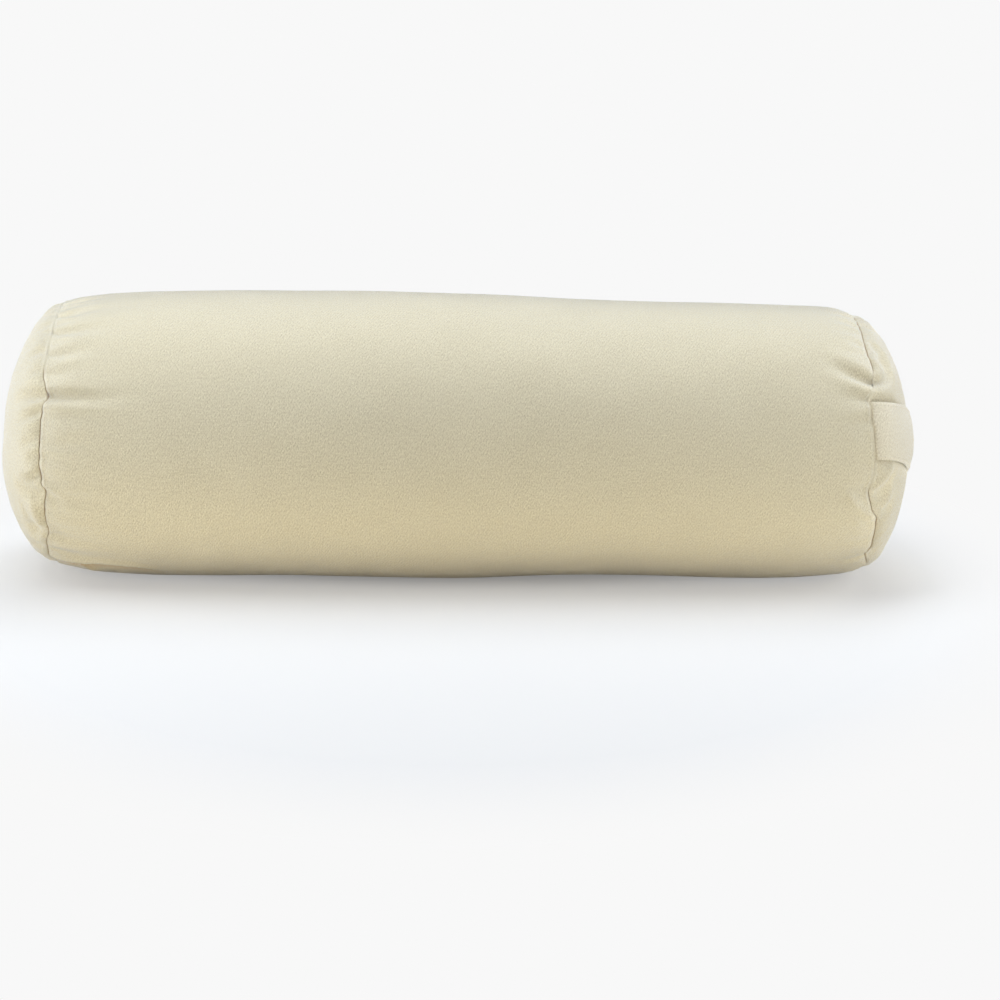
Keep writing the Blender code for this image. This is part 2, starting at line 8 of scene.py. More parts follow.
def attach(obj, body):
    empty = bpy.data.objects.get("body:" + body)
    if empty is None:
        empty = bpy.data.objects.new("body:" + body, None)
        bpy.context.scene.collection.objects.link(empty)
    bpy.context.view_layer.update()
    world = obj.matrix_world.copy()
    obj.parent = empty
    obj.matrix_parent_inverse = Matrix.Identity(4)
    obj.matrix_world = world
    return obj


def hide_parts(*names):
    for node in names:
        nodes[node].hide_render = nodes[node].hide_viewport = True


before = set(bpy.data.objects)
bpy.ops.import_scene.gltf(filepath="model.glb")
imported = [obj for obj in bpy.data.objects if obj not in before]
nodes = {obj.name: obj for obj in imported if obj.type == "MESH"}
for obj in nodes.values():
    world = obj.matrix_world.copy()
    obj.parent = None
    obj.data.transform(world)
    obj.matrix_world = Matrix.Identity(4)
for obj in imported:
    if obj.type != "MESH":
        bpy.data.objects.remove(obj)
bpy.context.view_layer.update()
print("Frame loaded:", len(nodes), "nodes")

# Sizes that the cloth pieces share, in metres and degrees
bolster = {
    "length": 0.655,
    "middleX": -0.00185,
    "crownLeft": 0.1183,
    "crownRight": 0.1129,
    "seamRadius": 0.1055,
    "shoulderLeft": 0.029,
    "shoulderRight": 0.0125,
    "fullness": 0.0040,
    "fullAt": -0.070,
    "fullReach": 0.150,
    "sag": 0.0042,
    "frontLift": 0.0034,
    "frontAngle": 256.0,
    "frontSpread": 26.0,
    "frontReach": 0.27,
    "frontShift": 0.01,
    "frontFade": 0.16,
    "endLift": 0.0024,
    "endAt": 0.265,
    "endFade": 0.045,
    "leftSwell": 0.0024,
    "swellAngle": 205.0,
    "swellSpread": 24.0,
    "domeLeft": 0.0432,
    "domeRight": 0.0425,
    "domeRound": 1.85,
    "leanLeft": 2.0,
    "leanRight": 1.0,
    "leanReach": 0.068,
    "leanStart": 0.012,
    "softFloor": 0.0020,
    "meanRadius": 0.1156,
    "middleZ": 0.112,
    "seed": 11,
}
halfLength = bolster["length"] / 2
meanRadius = bolster["meanRadius"]

zipLine = {
    "angle": 25.0,
    "length": 0.480,
    "slotHalf": 0.00585,
    "closeAfter": 0.0005,
    "closeOver": 0.0036,
    "hem": 0.0050,
    "hemDrop": 0.00105,
    "hemRows": 5,
    "closedHalf": 0.00035,
    "groove": 3.6,
    "calmFrom": 0.008,
    "calmOver": 0.02,
}
zipHalf = zipLine["length"] / 2
zipAngle = math.radians(zipLine["angle"])

farAway = 9.0  # a distance that no fold or gather reaches


# Small tools

def clearSelection():
    if bpy.context.object and bpy.context.object.mode != "OBJECT":
        bpy.ops.object.mode_set(mode="OBJECT")
    bpy.ops.object.select_all(action="DESELECT")


def named(name):
    piece = bpy.context.object
    piece.name = name
    piece.data.name = name
    return piece


def sided(name, side):
    return name + ("Left" if side < 0 else "Right")


def pointsOf(mesh):
    points = np.empty(len(mesh.vertices) * 3)
    mesh.vertices.foreach_get("co", points)
    return points.reshape(-1, 3)


def makeSmooth(piece):
    for polygon in piece.data.polygons:
        polygon.use_smooth = True


def startEdit():
    bpy.ops.object.mode_set(mode="EDIT")
    bpy.ops.mesh.select_all(action="SELECT")


def endEdit():
    bpy.ops.object.mode_set(mode="OBJECT")


def unit(vectors):
    return vectors / np.linalg.norm(vectors, axis=-1, keepdims=True)


def dress(piece, material, body, replaced=()):
    piece.data.materials.clear()
    piece.data.materials.append(material)
    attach(piece, body)
    if replaced:
        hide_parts(*replaced)


def smoothStep(t):
    t = np.clip(t, 0.0, 1.0)
    return t * t * (3 - 2 * t)


def signedTurn(a, b):
    return (a - b + math.pi) % math.tau - math.pi


def turnBetween(a, b):
    return np.abs(signedTurn(a, b))


def bulge(angle, middle, spread):
    # 1 at one turn, fading on both sides of it; the turn and the spread are in degrees
    off = signedTurn(angle, math.radians(middle)) / math.radians(spread)
    return np.exp(-off ** 2)


def gridPositions(piece, columns, rows):
    # column and row number of each vertex of a fresh unit grid
    points = pointsOf(piece.data)
    column = np.rint((points[:, 0] + 0.5) * (columns - 1)).astype(int)
    row = np.rint((points[:, 1] + 0.5) * (rows - 1)).astype(int)
    return column, row


def movePoints(piece, points):
    piece.data.vertices.foreach_set("co", np.ascontiguousarray(points, dtype=np.float64).ravel())
    piece.data.update()


def layFlat(piece, flat):
    # the piece's own map is its flat cloth, in metres
    layer = piece.data.uv_layers[0] if piece.data.uv_layers else piece.data.uv_layers.new()
    layer.name = "clothMap"
    corners = np.empty(len(piece.data.loops), dtype=np.int64)
    piece.data.loops.foreach_get("vertex_index", corners)
    layer.data.foreach_set("uv", np.ascontiguousarray(flat[corners], dtype=np.float32).ravel())


def markPoints(piece, name, share):
    # "tuck" is how deep a point is in the seam or under the lap, where brown painted shade goes
    # "edge" is where a pale painted highlight goes, on the seam's edge and the lap's lip
    mark = piece.data.attributes.new(name=name, type="FLOAT", domain="POINT")
    mark.data.foreach_set("value", np.ascontiguousarray(np.clip(share, 0, 1), dtype=np.float32))


def normalsOf(grid):
    along = np.gradient(grid, axis=0)
    around = np.gradient(grid, axis=1)
    normal = np.cross(along, around)
    return normal / np.maximum(np.linalg.norm(normal, axis=2, keepdims=True), 1e-12)


strap = {
    "width": 0.050,
    "seamWidth": 0.0455,
    "seamShift": 0.0022,
    "thick": 0.0024,
    "rise": 0.0468,
    "cup": 0.0050,
    "angle": 163.6,
    "bend": 0.0015,
    "clear": 0.0003,
    "edgeRound": 0.35,
    "start": 0.0018,
    "hollow": 0.0030,
    "hollowEdge": (1.6, 0.36),
    "hollowEnd": (1.9, 0.030),
    "coverPast": 0.001,
    "coverFade": 0.004,
    "tail": (0.004, 0.001),
    "bendSteps": 4,
    "archSteps": 40,
    "rootReach": 0.014,
    "lift": 0.0020,
    "liftReach": 0.0075,
    "along": 240,
    "round": 128,
    "middle": np.array([0.0, 0.02]),
}


def strapAcross(angle, radius):
    # how far a point of the right end lies from the strap's middle line
    return radius * np.sin(angle - math.radians(strap["angle"]))


# The filled shape that all cloth follows

def crownRadius(x):
    share = (x + halfLength) / bolster["length"]
    return bolster["crownLeft"] + (bolster["crownRight"] - bolster["crownLeft"]) * share


def drawnRadius(x):
    left = (bolster["crownLeft"] - bolster["seamRadius"]) * np.exp(-(x + halfLength) / bolster["shoulderLeft"])
    right = (bolster["crownRight"] - bolster["seamRadius"]) * np.exp((x - halfLength) / bolster["shoulderRight"])
    return crownRadius(x) - left - right


def tubeRadius(x, angle):
    slotTurn = zipLine["slotHalf"] / meanRadius
    grooveTurn = slotTurn * zipLine["groove"]
    free = smoothStep((turnBetween(angle, zipAngle) - grooveTurn) / (grooveTurn * 3))
    share = np.clip((x + zipHalf) / zipLine["length"], 0, 1)
    ends = drawnRadius(np.array([-zipHalf, zipHalf]))
    straight = np.where(np.abs(x) < zipHalf, ends[0] * (1 - share) + ends[1] * share, drawnRadius(x))
    full = bolster["fullness"] * (1 - (x / halfLength) ** 2)
    full = full * np.exp(-(((x - bolster["fullAt"]) / bolster["fullReach"]) ** 2))
    reach = bolster["frontReach"] - np.abs(x + bolster["frontShift"])
    lifted = bolster["frontLift"] * smoothStep(reach / bolster["frontFade"])
    lifted = lifted + bolster["endLift"] * smoothStep((x - bolster["endAt"]) / bolster["endFade"])
    lifted = lifted * bulge(angle, bolster["frontAngle"], bolster["frontSpread"])
    return straight * (1 - free) + (drawnRadius(x) + full) * free - lifted


def axisHeight(x):
    return crownRadius(x) - bolster["sag"]


def onFloor(z):
    # the cloth flattens softly where it rests
    soft = bolster["softFloor"]
    return 0.5 * (z + np.sqrt(z * z + soft * soft))


def leaned(side, x, offsetZ, share):
    lean = math.radians(bolster[sided("lean", side)])
    return x - side * offsetZ * math.tan(lean) * share


def tubeSurface(x, angle):
    radius = tubeRadius(x, angle)
    offsetZ = radius * np.sin(angle)
    reach = zipHalf + bolster["leanStart"]
    share = smoothStep((np.abs(x) - reach) / (halfLength - reach))
    leanedX = np.where(x > 0, leaned(1, x, offsetZ, share), leaned(-1, x, offsetZ, share))
    height = onFloor(axisHeight(x) + offsetZ)
    return np.stack([leanedX + bolster["middleX"], radius * np.cos(angle), height], axis=-1)


def domeSurface(side, turn, angle):
    depth = bolster[sided("dome", side)]
    power = 2 / bolster["domeRound"]
    radius = bolster["seamRadius"] * np.cos(turn) ** power
    rise = depth * np.sin(turn) ** power
    if side > 0:
        pressed = bulge(angle, bolster["frontAngle"], bolster["frontSpread"])
        radius = radius - bolster["endLift"] * pressed * np.cos(turn)
        # the strap's place is pressed back a little, so that fingers fit under it
        across = strapAcross(angle, radius)
        (wideEdge, wideShare), (endEdge, endReach) = strap["hollowEdge"], strap["hollowEnd"]
        under = smoothStep(wideEdge - np.abs(across) / (strap["width"] * wideShare))
        rise = rise - strap["hollow"] * under * smoothStep(endEdge - radius / endReach)
    else:
        swelling = bulge(angle, bolster["swellAngle"], bolster["swellSpread"])
        rise = rise + bolster["leftSwell"] * swelling * np.sin(2 * turn)
    offsetZ = radius * np.sin(angle)
    share = np.minimum(1.0, (radius / bolster["leanReach"]) ** 2)
    x = leaned(side, side * (halfLength + rise), offsetZ, share)
    height = onFloor(axisHeight(side * halfLength) + offsetZ)
    return np.stack([x + bolster["middleX"], radius * np.cos(angle), height], axis=-1)


# Seams and gathers

seams = {
    # the end seams' line, as turn round the bolster in degrees and shift along it in millimetres
    "shiftLeft": [
        (60, 1.0), (86, 0.4), (100, 1.8), (117, 3.0), (133, 2.7), (143, 2.2), (148, 5.2), (153, 7.4), (158, 4.0),
        (168, 3.1), (181, 2.7), (190, 4.4), (194, 7.2), (203, 4.9), (209, 5.0), (215, 6.3), (224, 2.2), (237, 0.4),
        (250, 1.6), (268, -0.6), (290, 2.4), (304, 0.4), (325, 3.0), (338, 1.0), (355, 2.6), (375, 0.4), (396, 2.2),
    ],
    "shiftRight": [
        (62, -3.4), (81, -5.0), (98, -2.9), (111, -1.7), (118, -1.9), (126, -0.4), (134, 2.1), (141, 0.8), (145, 0.6),
        (149, -4.4), (156, -3.0), (163, -1.4), (174, -0.4), (180, 0.6), (189, -3.9), (197, -0.6), (202, 4.4),
        (210, 4.2), (218, 3.6), (226, 0.2), (236, 3.9), (252, 0.8), (271, 2.8), (292, -1.6), (311, 1.2),
        (330, -1.4), (346, 1.6), (366, -2.2), (388, 0.6),
    ],
    "openLeft": [(60, 0.1), (136, 0.05), (144, 1), (238, 1), (262, 0.5), (330, 0.8), (400, 0.3)],
    "openRight": [
        (60, 0.4), (88, 0.5), (98, 1), (134, 1), (141, 0.05), (184, 0.05), (190, 1), (238, 1), (300, 0.6), (390, 0.7),
    ],
    "roll": 0.0008,
    "gap": 0.00016,
    "overlap": 0.00035,
    "closeBy": 0.0007,
    "shut": 0.00012,
    "partReach": 0.003,
    "tuck": 0.0060,
    "tuckRows": 6,
    "rollRows": 5,
    "closedDrop": 0.12,
    "ridge": 0.0009,
    "ridgeWide": 0.0011,
    "reach": 0.017,
    "meet": 0.006,
    "lapTurn": 236,
    "lapCloser": 2.6,
    "lapSpread": 0.15,
    # sizes of the painted shade under the lap and of the painted highlights on the lap's lip and the seam's edges
    "lapShade": 0.0028,
    "lapHighlight": 0.0016,
    "highlightTube": 0.0009,
    "highlightDome": 0.0012,
    "lip": 0.0005,
    "lipAt": 0.0031,
    "lipWidth": 0.0013,
}


def roundTable(places, angle):
    # a value given at some turns round the bolster, smooth from place to place
    turns = np.radians([place[0] for place in places]) % math.tau
    shifts = np.array([place[1] for place in places], dtype=float)
    order = np.argsort(turns)
    turns, shifts = turns[order], shifts[order]
    wide = np.concatenate([turns - math.tau, turns, turns + math.tau])
    tall = np.concatenate([shifts, shifts, shifts])
    turn = np.asarray(angle) % math.tau
    after = np.clip(np.searchsorted(wide, turn), 1, len(wide) - 1)
    share = (turn - wide[after - 1]) / (wide[after] - wide[after - 1])
    share = share * 0.35 + smoothStep(share) * 0.65
    return tall[after - 1] * (1 - share) + tall[after] * share


def seamWave(side, angle):
    # how far the end seam wanders along the bolster
    return roundTable(seams[sided("shift", side)], angle) * 0.001


def seamOpen(side, angle):
    # how far the two cloths stand apart in the seam, from 0 to 1
    return roundTable(seams[sided("open", side)], angle)


def strapCover(angle):
    # 1 where the strap leaves the right seam, 0 away from it
    turn = math.radians(strap["angle"])
    across = np.minimum(turnBetween(angle, turn), turnBetween(angle, turn + math.pi)) * bolster["seamRadius"]
    return smoothStep((strap["width"] / 2 + strap["coverPast"] - across) / strap["coverFade"])


# Folds: a path from the seam inwards as (mm from the seam, turn in degrees), then kind, half width and height in mm
folds = {
    "tubeLeft": [
        ([(0, 106), (14, 109), (36, 113)], "valley", 2.6, 1.05),
        ([(0, 119.5), (18, 122), (36, 124.5)], "valley", 2.5, 0.85),
        ([(0, 132.5), (16, 134.5), (33, 135)], "valley", 2.4, 0.8),
        ([(0, 142), (14, 143.5), (29, 144)], "valley", 2.3, 0.75),
        ([(0, 151.5), (22, 153.5), (48, 154.6), (92, 152.5)], "valley", 3.1, 1.75),
        ([(0, 157.5), (20, 159.5), (44, 161)], "ridge", 4.2, 0.9),
        ([(0, 167), (14, 168), (26, 167)], "valley", 3.0, 0.5),
        ([(0, 178), (12, 179), (22, 180)], "valley", 3.0, 0.35),
        ([(0, 189.5), (16, 194), (34, 199)], "ridge", 2.4, 0.95),
        ([(0, 194.5), (15, 199), (28, 203)], "valley", 3.2, 0.7),
        ([(0, 203), (12, 202), (22, 201)], "valley", 2.6, 0.75),
        ([(0, 210), (9, 210.5), (20, 210)], "ridge", 2.6, 0.45),
        ([(0, 217.5), (10, 216.5), (20, 215)], "valley", 2.4, 0.7),
        ([(0, 238), (22, 234.3), (45, 232), (69, 233.2), (80, 236), (98, 244)], "lap", 1.5, 1.9),
        ([(16, 235.5), (30, 240), (42, 247)], "ridge", 2.2, 0.9),
    ],
    "tubeRight": [
        ([(0, 141.2), (9, 140), (18, 138.2), (34, 134.4), (46, 132.5)], "valley", 3.8, 2.2),
        ([(0, 147), (12, 145.5), (26, 141.5)], "ridge", 3.4, 1.1),
        ([(0, 122), (12, 121), (22, 119.5)], "valley", 2.6, 0.7),
        ([(0, 108), (10, 107), (24, 104)], "valley", 2.6, 0.8),
        ([(0, 96), (12, 97), (26, 96)], "valley", 2.4, 0.6),
        ([(0, 151.5), (10, 154), (22, 160)], "ridge", 3.0, 0.6),
        ([(0, 158), (8, 160), (20, 166)], "valley", 3.6, 0.5),
        ([(25, 186), (18, 189.4), (8, 198), (2, 203)], "ridge", 3.0, 1.15),
        ([(14, 196), (6, 203), (0, 206)], "valley", 2.6, 0.9),
        ([(0, 188), (10, 186), (18, 183)], "valley", 2.4, 0.5),
        ([(0, 214), (10, 213), (22, 211)], "valley", 2.8, 0.6),
        ([(0, 226), (12, 227), (24, 226)], "valley", 2.6, 0.7),
        ([(0, 236), (10, 238), (20, 240)], "ridge", 2.6, 0.6),
    ],
    "domeLeft": [
        ([(0, 152), (14, 150.5), (34, 147)], "valley", 3.4, 1.7),
        ([(0, 159), (12, 161), (30, 163)], "valley", 2.8, 1.2),
        ([(0, 170), (12, 173), (20, 176)], "valley", 2.6, 0.6),
        ([(0, 186), (10, 190), (24, 194)], "valley", 2.8, 1.2),
        ([(10, 196), (4, 207), (3, 218), (0, 228)], "ridge", 2.4, 0.85),
        ([(18, 200), (10, 212), (6, 224)], "valley", 2.8, 0.7),
        ([(0, 131), (12, 129), (22, 126)], "valley", 2.6, 0.6),
        ([(0, 119), (10, 117), (18, 114)], "valley", 2.4, 0.55),
        ([(0, 104), (10, 102), (18, 100)], "valley", 2.4, 0.5),
    ],
    "domeRight": [
        ([(4, 116), (11, 122), (14, 131), (13, 141)], "valley", 3.4, 1.3),
        ([(10, 112), (19, 122), (23, 134), (22, 146)], "ridge", 4.0, 0.9),
        ([(0, 141), (8, 139), (16, 134)], "valley", 2.6, 0.9),
        ([(0, 126), (8, 120), (18, 112)], "valley", 2.6, 0.7),
        ([(18, 177), (10, 183), (0, 189.5)], "ridge", 2.6, 1.0),
        ([(24, 179), (16, 186), (4, 193)], "valley", 2.8, 1.1),
        ([(26, 188), (15, 193), (5, 199)], "ridge", 2.8, 0.8),
        ([(24, 195), (12, 200), (0, 204)], "valley", 2.6, 0.7),
        ([(20, 206), (10, 211), (0, 216)], "ridge", 3.0, 0.6),
        ([(22, 215), (12, 221), (0, 227)], "valley", 2.8, 0.8),
        ([(0, 104), (12, 102), (22, 99)], "valley", 2.6, 0.6),
    ],
    "hidden": {
        "from": 246, "to": 454, "spacing": (6.5, 12.5), "reach": (12, 42), "width": (2.1, 3.8), "height": (0.45, 1.5),
    },
    "fine": {"spacing": (3.0, 6.0), "reach": (5, 14), "width": (1.2, 2.2), "height": (0.10, 0.34)},
    "metre": 0.1105,
    "depth": 1.9,
    "deepest": 0.0042,
    "waves": 0.00042,
    "waveCount": 14,
    "waveLengths": (0.055, 0.21),
    "sideReach": 0.06,
    "endReach": 0.02,
    "widen": 0.7,
    "hump": 0.7,
    "shoulder": 0.30,
    "shoulderAt": 1.9,
    "lapFadeAt": 0.62,
    "lapFadeOver": 0.38,
    "lapBelow": 0.011,
    "lapAbove": 0.004,
    "lapRise": 0.55,
    "lapEdge": 0.0009,
}


def addHiddenFolds():
    # the gathers go on all round the ends that the front view doesn't show
    chance = np.random.default_rng(bolster["seed"])
    hidden = folds["hidden"]
    fine = folds["fine"]
    for end in ("tubeLeft", "tubeRight", "domeLeft", "domeRight"):
        onDome = end.startswith("dome")
        turn = hidden["from"] + chance.uniform(0, 6)
        kind = "valley"
        while turn < hidden["to"]:
            reach = chance.uniform(*hidden["reach"]) * (0.7 if onDome else 1.0)
            drift = chance.normal(0, 2.2)
            height = chance.uniform(*hidden["height"]) * (0.75 if onDome else 1.0)
            height *= 0.5 if kind == "ridge" else 1.0
            path = [(0, turn), (reach * 0.45, turn + drift * 0.6), (reach, turn + drift * 1.6)]
            folds[end].append((path, kind, chance.uniform(*hidden["width"]), height))
            kind = "ridge" if kind == "valley" and chance.random() < 0.5 else "valley"
            turn += chance.uniform(*hidden["spacing"])
        turn = chance.uniform(0, 5)
        while turn < 360:
            reach = chance.uniform(*fine["reach"])
            path = [(0, turn), (reach, turn + chance.normal(0, 1.2))]
            kind = "valley" if chance.random() < 0.65 else "ridge"
            folds[end].append((path, kind, chance.uniform(*fine["width"]), chance.uniform(*fine["height"])))
            turn += chance.uniform(*fine["spacing"])


addHiddenFolds()


def foldHeights(end, distance, angle):
    distance, angle = np.broadcast_arrays(distance, angle)
    total = np.zeros(distance.shape)
    metre = folds["metre"]
    for path, kind, width, height in folds[end]:
        places = np.array(path, dtype=float)
        turns = np.radians(places[:, 1])
        middle = turns.mean()
        down = signedTurn(angle, middle) * metre
        near = (np.abs(down) < folds["sideReach"]) & (distance < places[:, 0].max() * 0.001 + folds["endReach"])
        if not near.any():
            continue
        u, v = distance[near], down[near]
        px, py = places[:, 0] * 0.001, (turns - middle) * metre
        lengths = np.hypot(np.diff(px), np.diff(py))
        whole = lengths.sum()
        best = np.full(u.shape, 1e9)
        signed = np.zeros(u.shape)
        along = np.zeros(u.shape)
        before = 0.0
        for k, length in enumerate(lengths):
            dx, dy = (px[k + 1] - px[k]) / length, (py[k + 1] - py[k]) / length
            share = np.clip((u - px[k]) * dx + (v - py[k]) * dy, 0, length)
            offU, offV = u - px[k] - dx * share, v - py[k] - dy * share
            away = np.hypot(offU, offV)
            closer = away < best
            best = np.where(closer, away, best)
            signed = np.where(closer, np.sign(dx * offV - dy * offU) * away, signed)
            along = np.where(closer, (before + share) / whole, along)
            before += length
        wide = width * 0.001 * (1 + folds["widen"] * along)
        late = (along - folds["lapFadeAt"]) / folds["lapFadeOver"]
        fade = 1 - smoothStep(late if kind == "lap" else along)
        if places[0, 0] > 1 and kind != "lap":
            fade = np.sin(np.clip(along, 0, 1) * math.pi) ** folds["hump"]
        tall = height * 0.001 * fade * folds["depth"]
        if kind == "valley":
            beside = (best - folds["shoulderAt"] * wide) / wide
            shape = -np.exp(-(best / wide) ** 2) + folds["shoulder"] * np.exp(-beside ** 2)
        elif kind == "ridge":
            shape = np.exp(-(best / wide) ** 2)
        else:
            # one edge of cloth laps over the other, which drops away below it
            below = signed > 0
            above = folds["lapRise"] * np.exp(-(best / folds["lapAbove"]) ** 2)
            shape = np.where(below, -1.0 * np.exp(-(best / folds["lapBelow"]) ** 2), above)
            edge = smoothStep(best / folds["lapEdge"])
            shape = shape * np.where(below, edge, 1.0)
        total[near] += shape * tall
    return total


def softWaves(along, across):
    # the filling's own slow unevenness, in metres of cloth
    chance = np.random.default_rng(bolster["seed"] + 5)
    total = np.zeros(np.broadcast(along, across).shape)
    for number in range(folds["waveCount"]):
        wavelength = chance.uniform(*folds["waveLengths"])
        heading = chance.uniform(0, math.pi)
        phase = chance.uniform(0, math.tau)
        run = along * math.cos(heading) + across * math.sin(heading)
        total = total + np.sin(run * math.tau / wavelength + phase)
    return total / folds["waveCount"] ** 0.5 * folds["waves"]


# The gathers beside the end seams: the cloth there is cut full and drawn in to the seam, so it buckles

gathers = {
    "reach": 0.084,
    "rows": 36,
    "columns": 300,
    "frames": 22,
    "drawnBy": 12,
    "pressure": 2400.0,
    "seed": 0.45,
    "noise": 0.00022,
    "mass": 0.001,
    "stiffness": 40.0,
    "damping": 1.0,
    "bending": 600.0,
    "ease": 0.9,
    "cap": 0.0030,
    "fadeColumns": 14,
    "fadeRows": 8,
    "quality": 6,
    "edge": 0.02,
    "calmBy": 0.004,
    "middleIn": 0.04,
    "domeScale": 0.9,
    "domeEase": 0.6,
    "share": {"tubeLeft": 1.1, "tubeRight": 0.75, "domeLeft": 1.5, "domeRight": 1.15},
}


def roundSmooth(grid, width):
    # a running mean round the bolster, in columns
    bell = np.exp(-0.5 * (np.arange(-3 * width, 3 * width + 1) / width) ** 2)
    bell = bell / bell.sum()
    padded = np.concatenate([grid[:, -3 * width:], grid, grid[:, :3 * width]], axis=1)
    return np.stack([np.convolve(line, bell, "valid") for line in padded])


def gatherGrid(side, onDome):
    # the strip's smooth surface, its cloth as cut, and its distance from the seam and turn
    rows, columns = gathers["rows"], gathers["columns"]
    distance = np.linspace(0, gathers["reach"], rows)[:, None]
    edge = zipAngle + gathers["edge"]
    angle = np.linspace(edge, edge + math.tau - 2 * gathers["edge"], columns)[None, :]
    if not onDome:
        x = side * (halfLength - distance)
        surface = tubeSurface(x, angle)
        radius = drawnRadius(x)
        full = crownRadius(x)
        grow = 1 + (full / radius - 1) * gathers["ease"]
    else:
        sampleTurn, run = domeRun(side)
        turn = np.interp(distance * gathers["domeScale"], run, sampleTurn)
        surface = domeSurface(side, turn, angle)
        power = 2 / bolster["domeRound"]
        radius = bolster["seamRadius"] * np.cos(turn) ** power
        full = run[-1] - distance * gathers["domeScale"]
        grow = 1 + (full / radius - 1) * gathers["ease"] * gathers["domeEase"]
    surface[:, :, 0] += seamWave(side, angle) * np.exp(-distance / seams["reach"])
    centre = np.array([0, 0, axisHeight(side * halfLength)])
    asCut = surface.copy()
    asCut[:, :, 1] = surface[:, :, 1] * grow
    asCut[:, :, 2] = centre[2] + (surface[:, :, 2] - centre[2]) * grow
    return surface, asCut, distance, angle


def domeRun(side):
    depth = bolster[sided("dome", side)]
    firstTurn = math.asin((seams["roll"] / depth) ** (bolster["domeRound"] / 2))
    sampleTurn = np.linspace(firstTurn, math.pi / 2, 200)
    profile = domeSurface(side, sampleTurn, np.full(200, math.pi))
    steps = np.linalg.norm(np.diff(profile, axis=0), axis=1)
    return sampleTurn, np.concatenate([[0], np.cumsum(steps)])


def simulateGathers(side, onDome):
    name = sided("dome" if onDome else "tube", side)
    surface, asCut, distance, angle = gatherGrid(side, onDome)
    rows, columns = gathers["rows"], gathers["columns"]
    normal = normalsOf(surface)
    middleX = bolster["middleX"] + side * (halfLength - gathers["middleIn"])
    middle = np.array([middleX, 0, axisHeight(side * halfLength)])
    normal = normal * np.sign(np.mean(np.sum(normal * (surface - middle), axis=2)))
    chance = np.random.default_rng(bolster["seed"] + len(name) + side)
    start = foldHeights(name, distance, angle) * gathers["seed"]
    start = start + roundSmooth(chance.normal(0, gathers["noise"] * 2.6, surface.shape[:2]), 2)
    start = start * np.minimum(distance / gathers["calmBy"], 1)
    asCut = asCut + normal * start[:, :, None]

    clearSelection()
    bpy.ops.mesh.primitive_grid_add(x_subdivisions=rows - 1, y_subdivisions=columns - 1, size=1)
    strip = named(name + "Strip")
    column, row = gridPositions(strip, rows, columns)
    movePoints(strip, asCut[column, row])
    outward = 0.0
    for number in range(0, len(strip.data.polygons), 97):
        polygon = strip.data.polygons[number]
        outward += polygon.normal.dot((polygon.center - Vector(middle)).normalized())
    if outward < 0:
        strip.data.flip_normals()
    # the cloth starts as it was cut, and its held edge is drawn in to the seam
    strip.shape_key_add(name="asCut")
    drawnIn = strip.shape_key_add(name="drawnIn")
    drawnIn.data.foreach_set("co", np.ascontiguousarray(surface[column, row]).ravel())
    for frameNumber, value in ((1, 0.0), (gathers["drawnBy"], 1.0)):
        drawnIn.value = value
        drawnIn.keyframe_insert("value", frame=frameNumber)
    held = strip.vertex_groups.new(name="held")
    fixed = (column == 0) | (column >= rows - 2) | (row == 0) | (row == columns - 1)
    held.add(np.flatnonzero(fixed).tolist(), 1.0, "REPLACE")
    cloth = strip.modifiers.new("gather", "CLOTH")
    settings = cloth.settings
    settings.vertex_group_mass = "held"
    settings.quality = gathers["quality"]
    settings.mass = gathers["mass"]
    for pull, share in (("tension", 1.0), ("compression", 1.0), ("shear", 0.3)):
        setattr(settings, pull + "_stiffness", gathers["stiffness"] * share)
        setattr(settings, pull + "_damping", gathers["damping"])
    settings.bending_damping = gathers["damping"] * 0.1
    settings.bending_stiffness = gathers["bending"]
    settings.use_pressure = True
    settings.uniform_pressure_force = gathers["pressure"]
    settings.effector_weights.gravity = 0
    cloth.collision_settings.use_collision = False
    cloth.collision_settings.use_self_collision = False
    cloth.point_cache.frame_start = 1
    cloth.point_cache.frame_end = gathers["frames"]
    for frameNumber in range(1, gathers["frames"] + 1):
        bpy.context.scene.frame_set(frameNumber)
    settled = strip.evaluated_get(bpy.context.evaluated_depsgraph_get())
    grid = np.empty_like(surface)
    grid[column, row] = pointsOf(settled.data)
    bpy.data.objects.remove(strip)
    for action in list(bpy.data.actions):
        bpy.data.actions.remove(action)
    bpy.context.scene.frame_set(1)
    height = np.sum((grid - surface) * normal, axis=2)
    height = height - roundSmooth(height, 8)
    fadeColumns, fadeRows = gathers["fadeColumns"], gathers["fadeRows"]
    height[:, :fadeColumns] *= np.linspace(0, 1, fadeColumns)[None, :] ** 2
    height[:, -fadeColumns:] *= np.linspace(1, 0, fadeColumns)[None, :] ** 2
    height[-fadeRows:] *= np.linspace(1, 0, fadeRows)[:, None]
    height = roundSmooth(height, 1)
    height[1:-1] = (height[:-2] + 2 * height[1:-1] + height[2:]) / 4
    height = np.clip(height, -gathers["cap"], gathers["cap"])
    print("Gathers settled:", name, np.round([height.min() * 1000, height.max() * 1000], 2), "mm")
    return distance[:, 0], angle[0], height


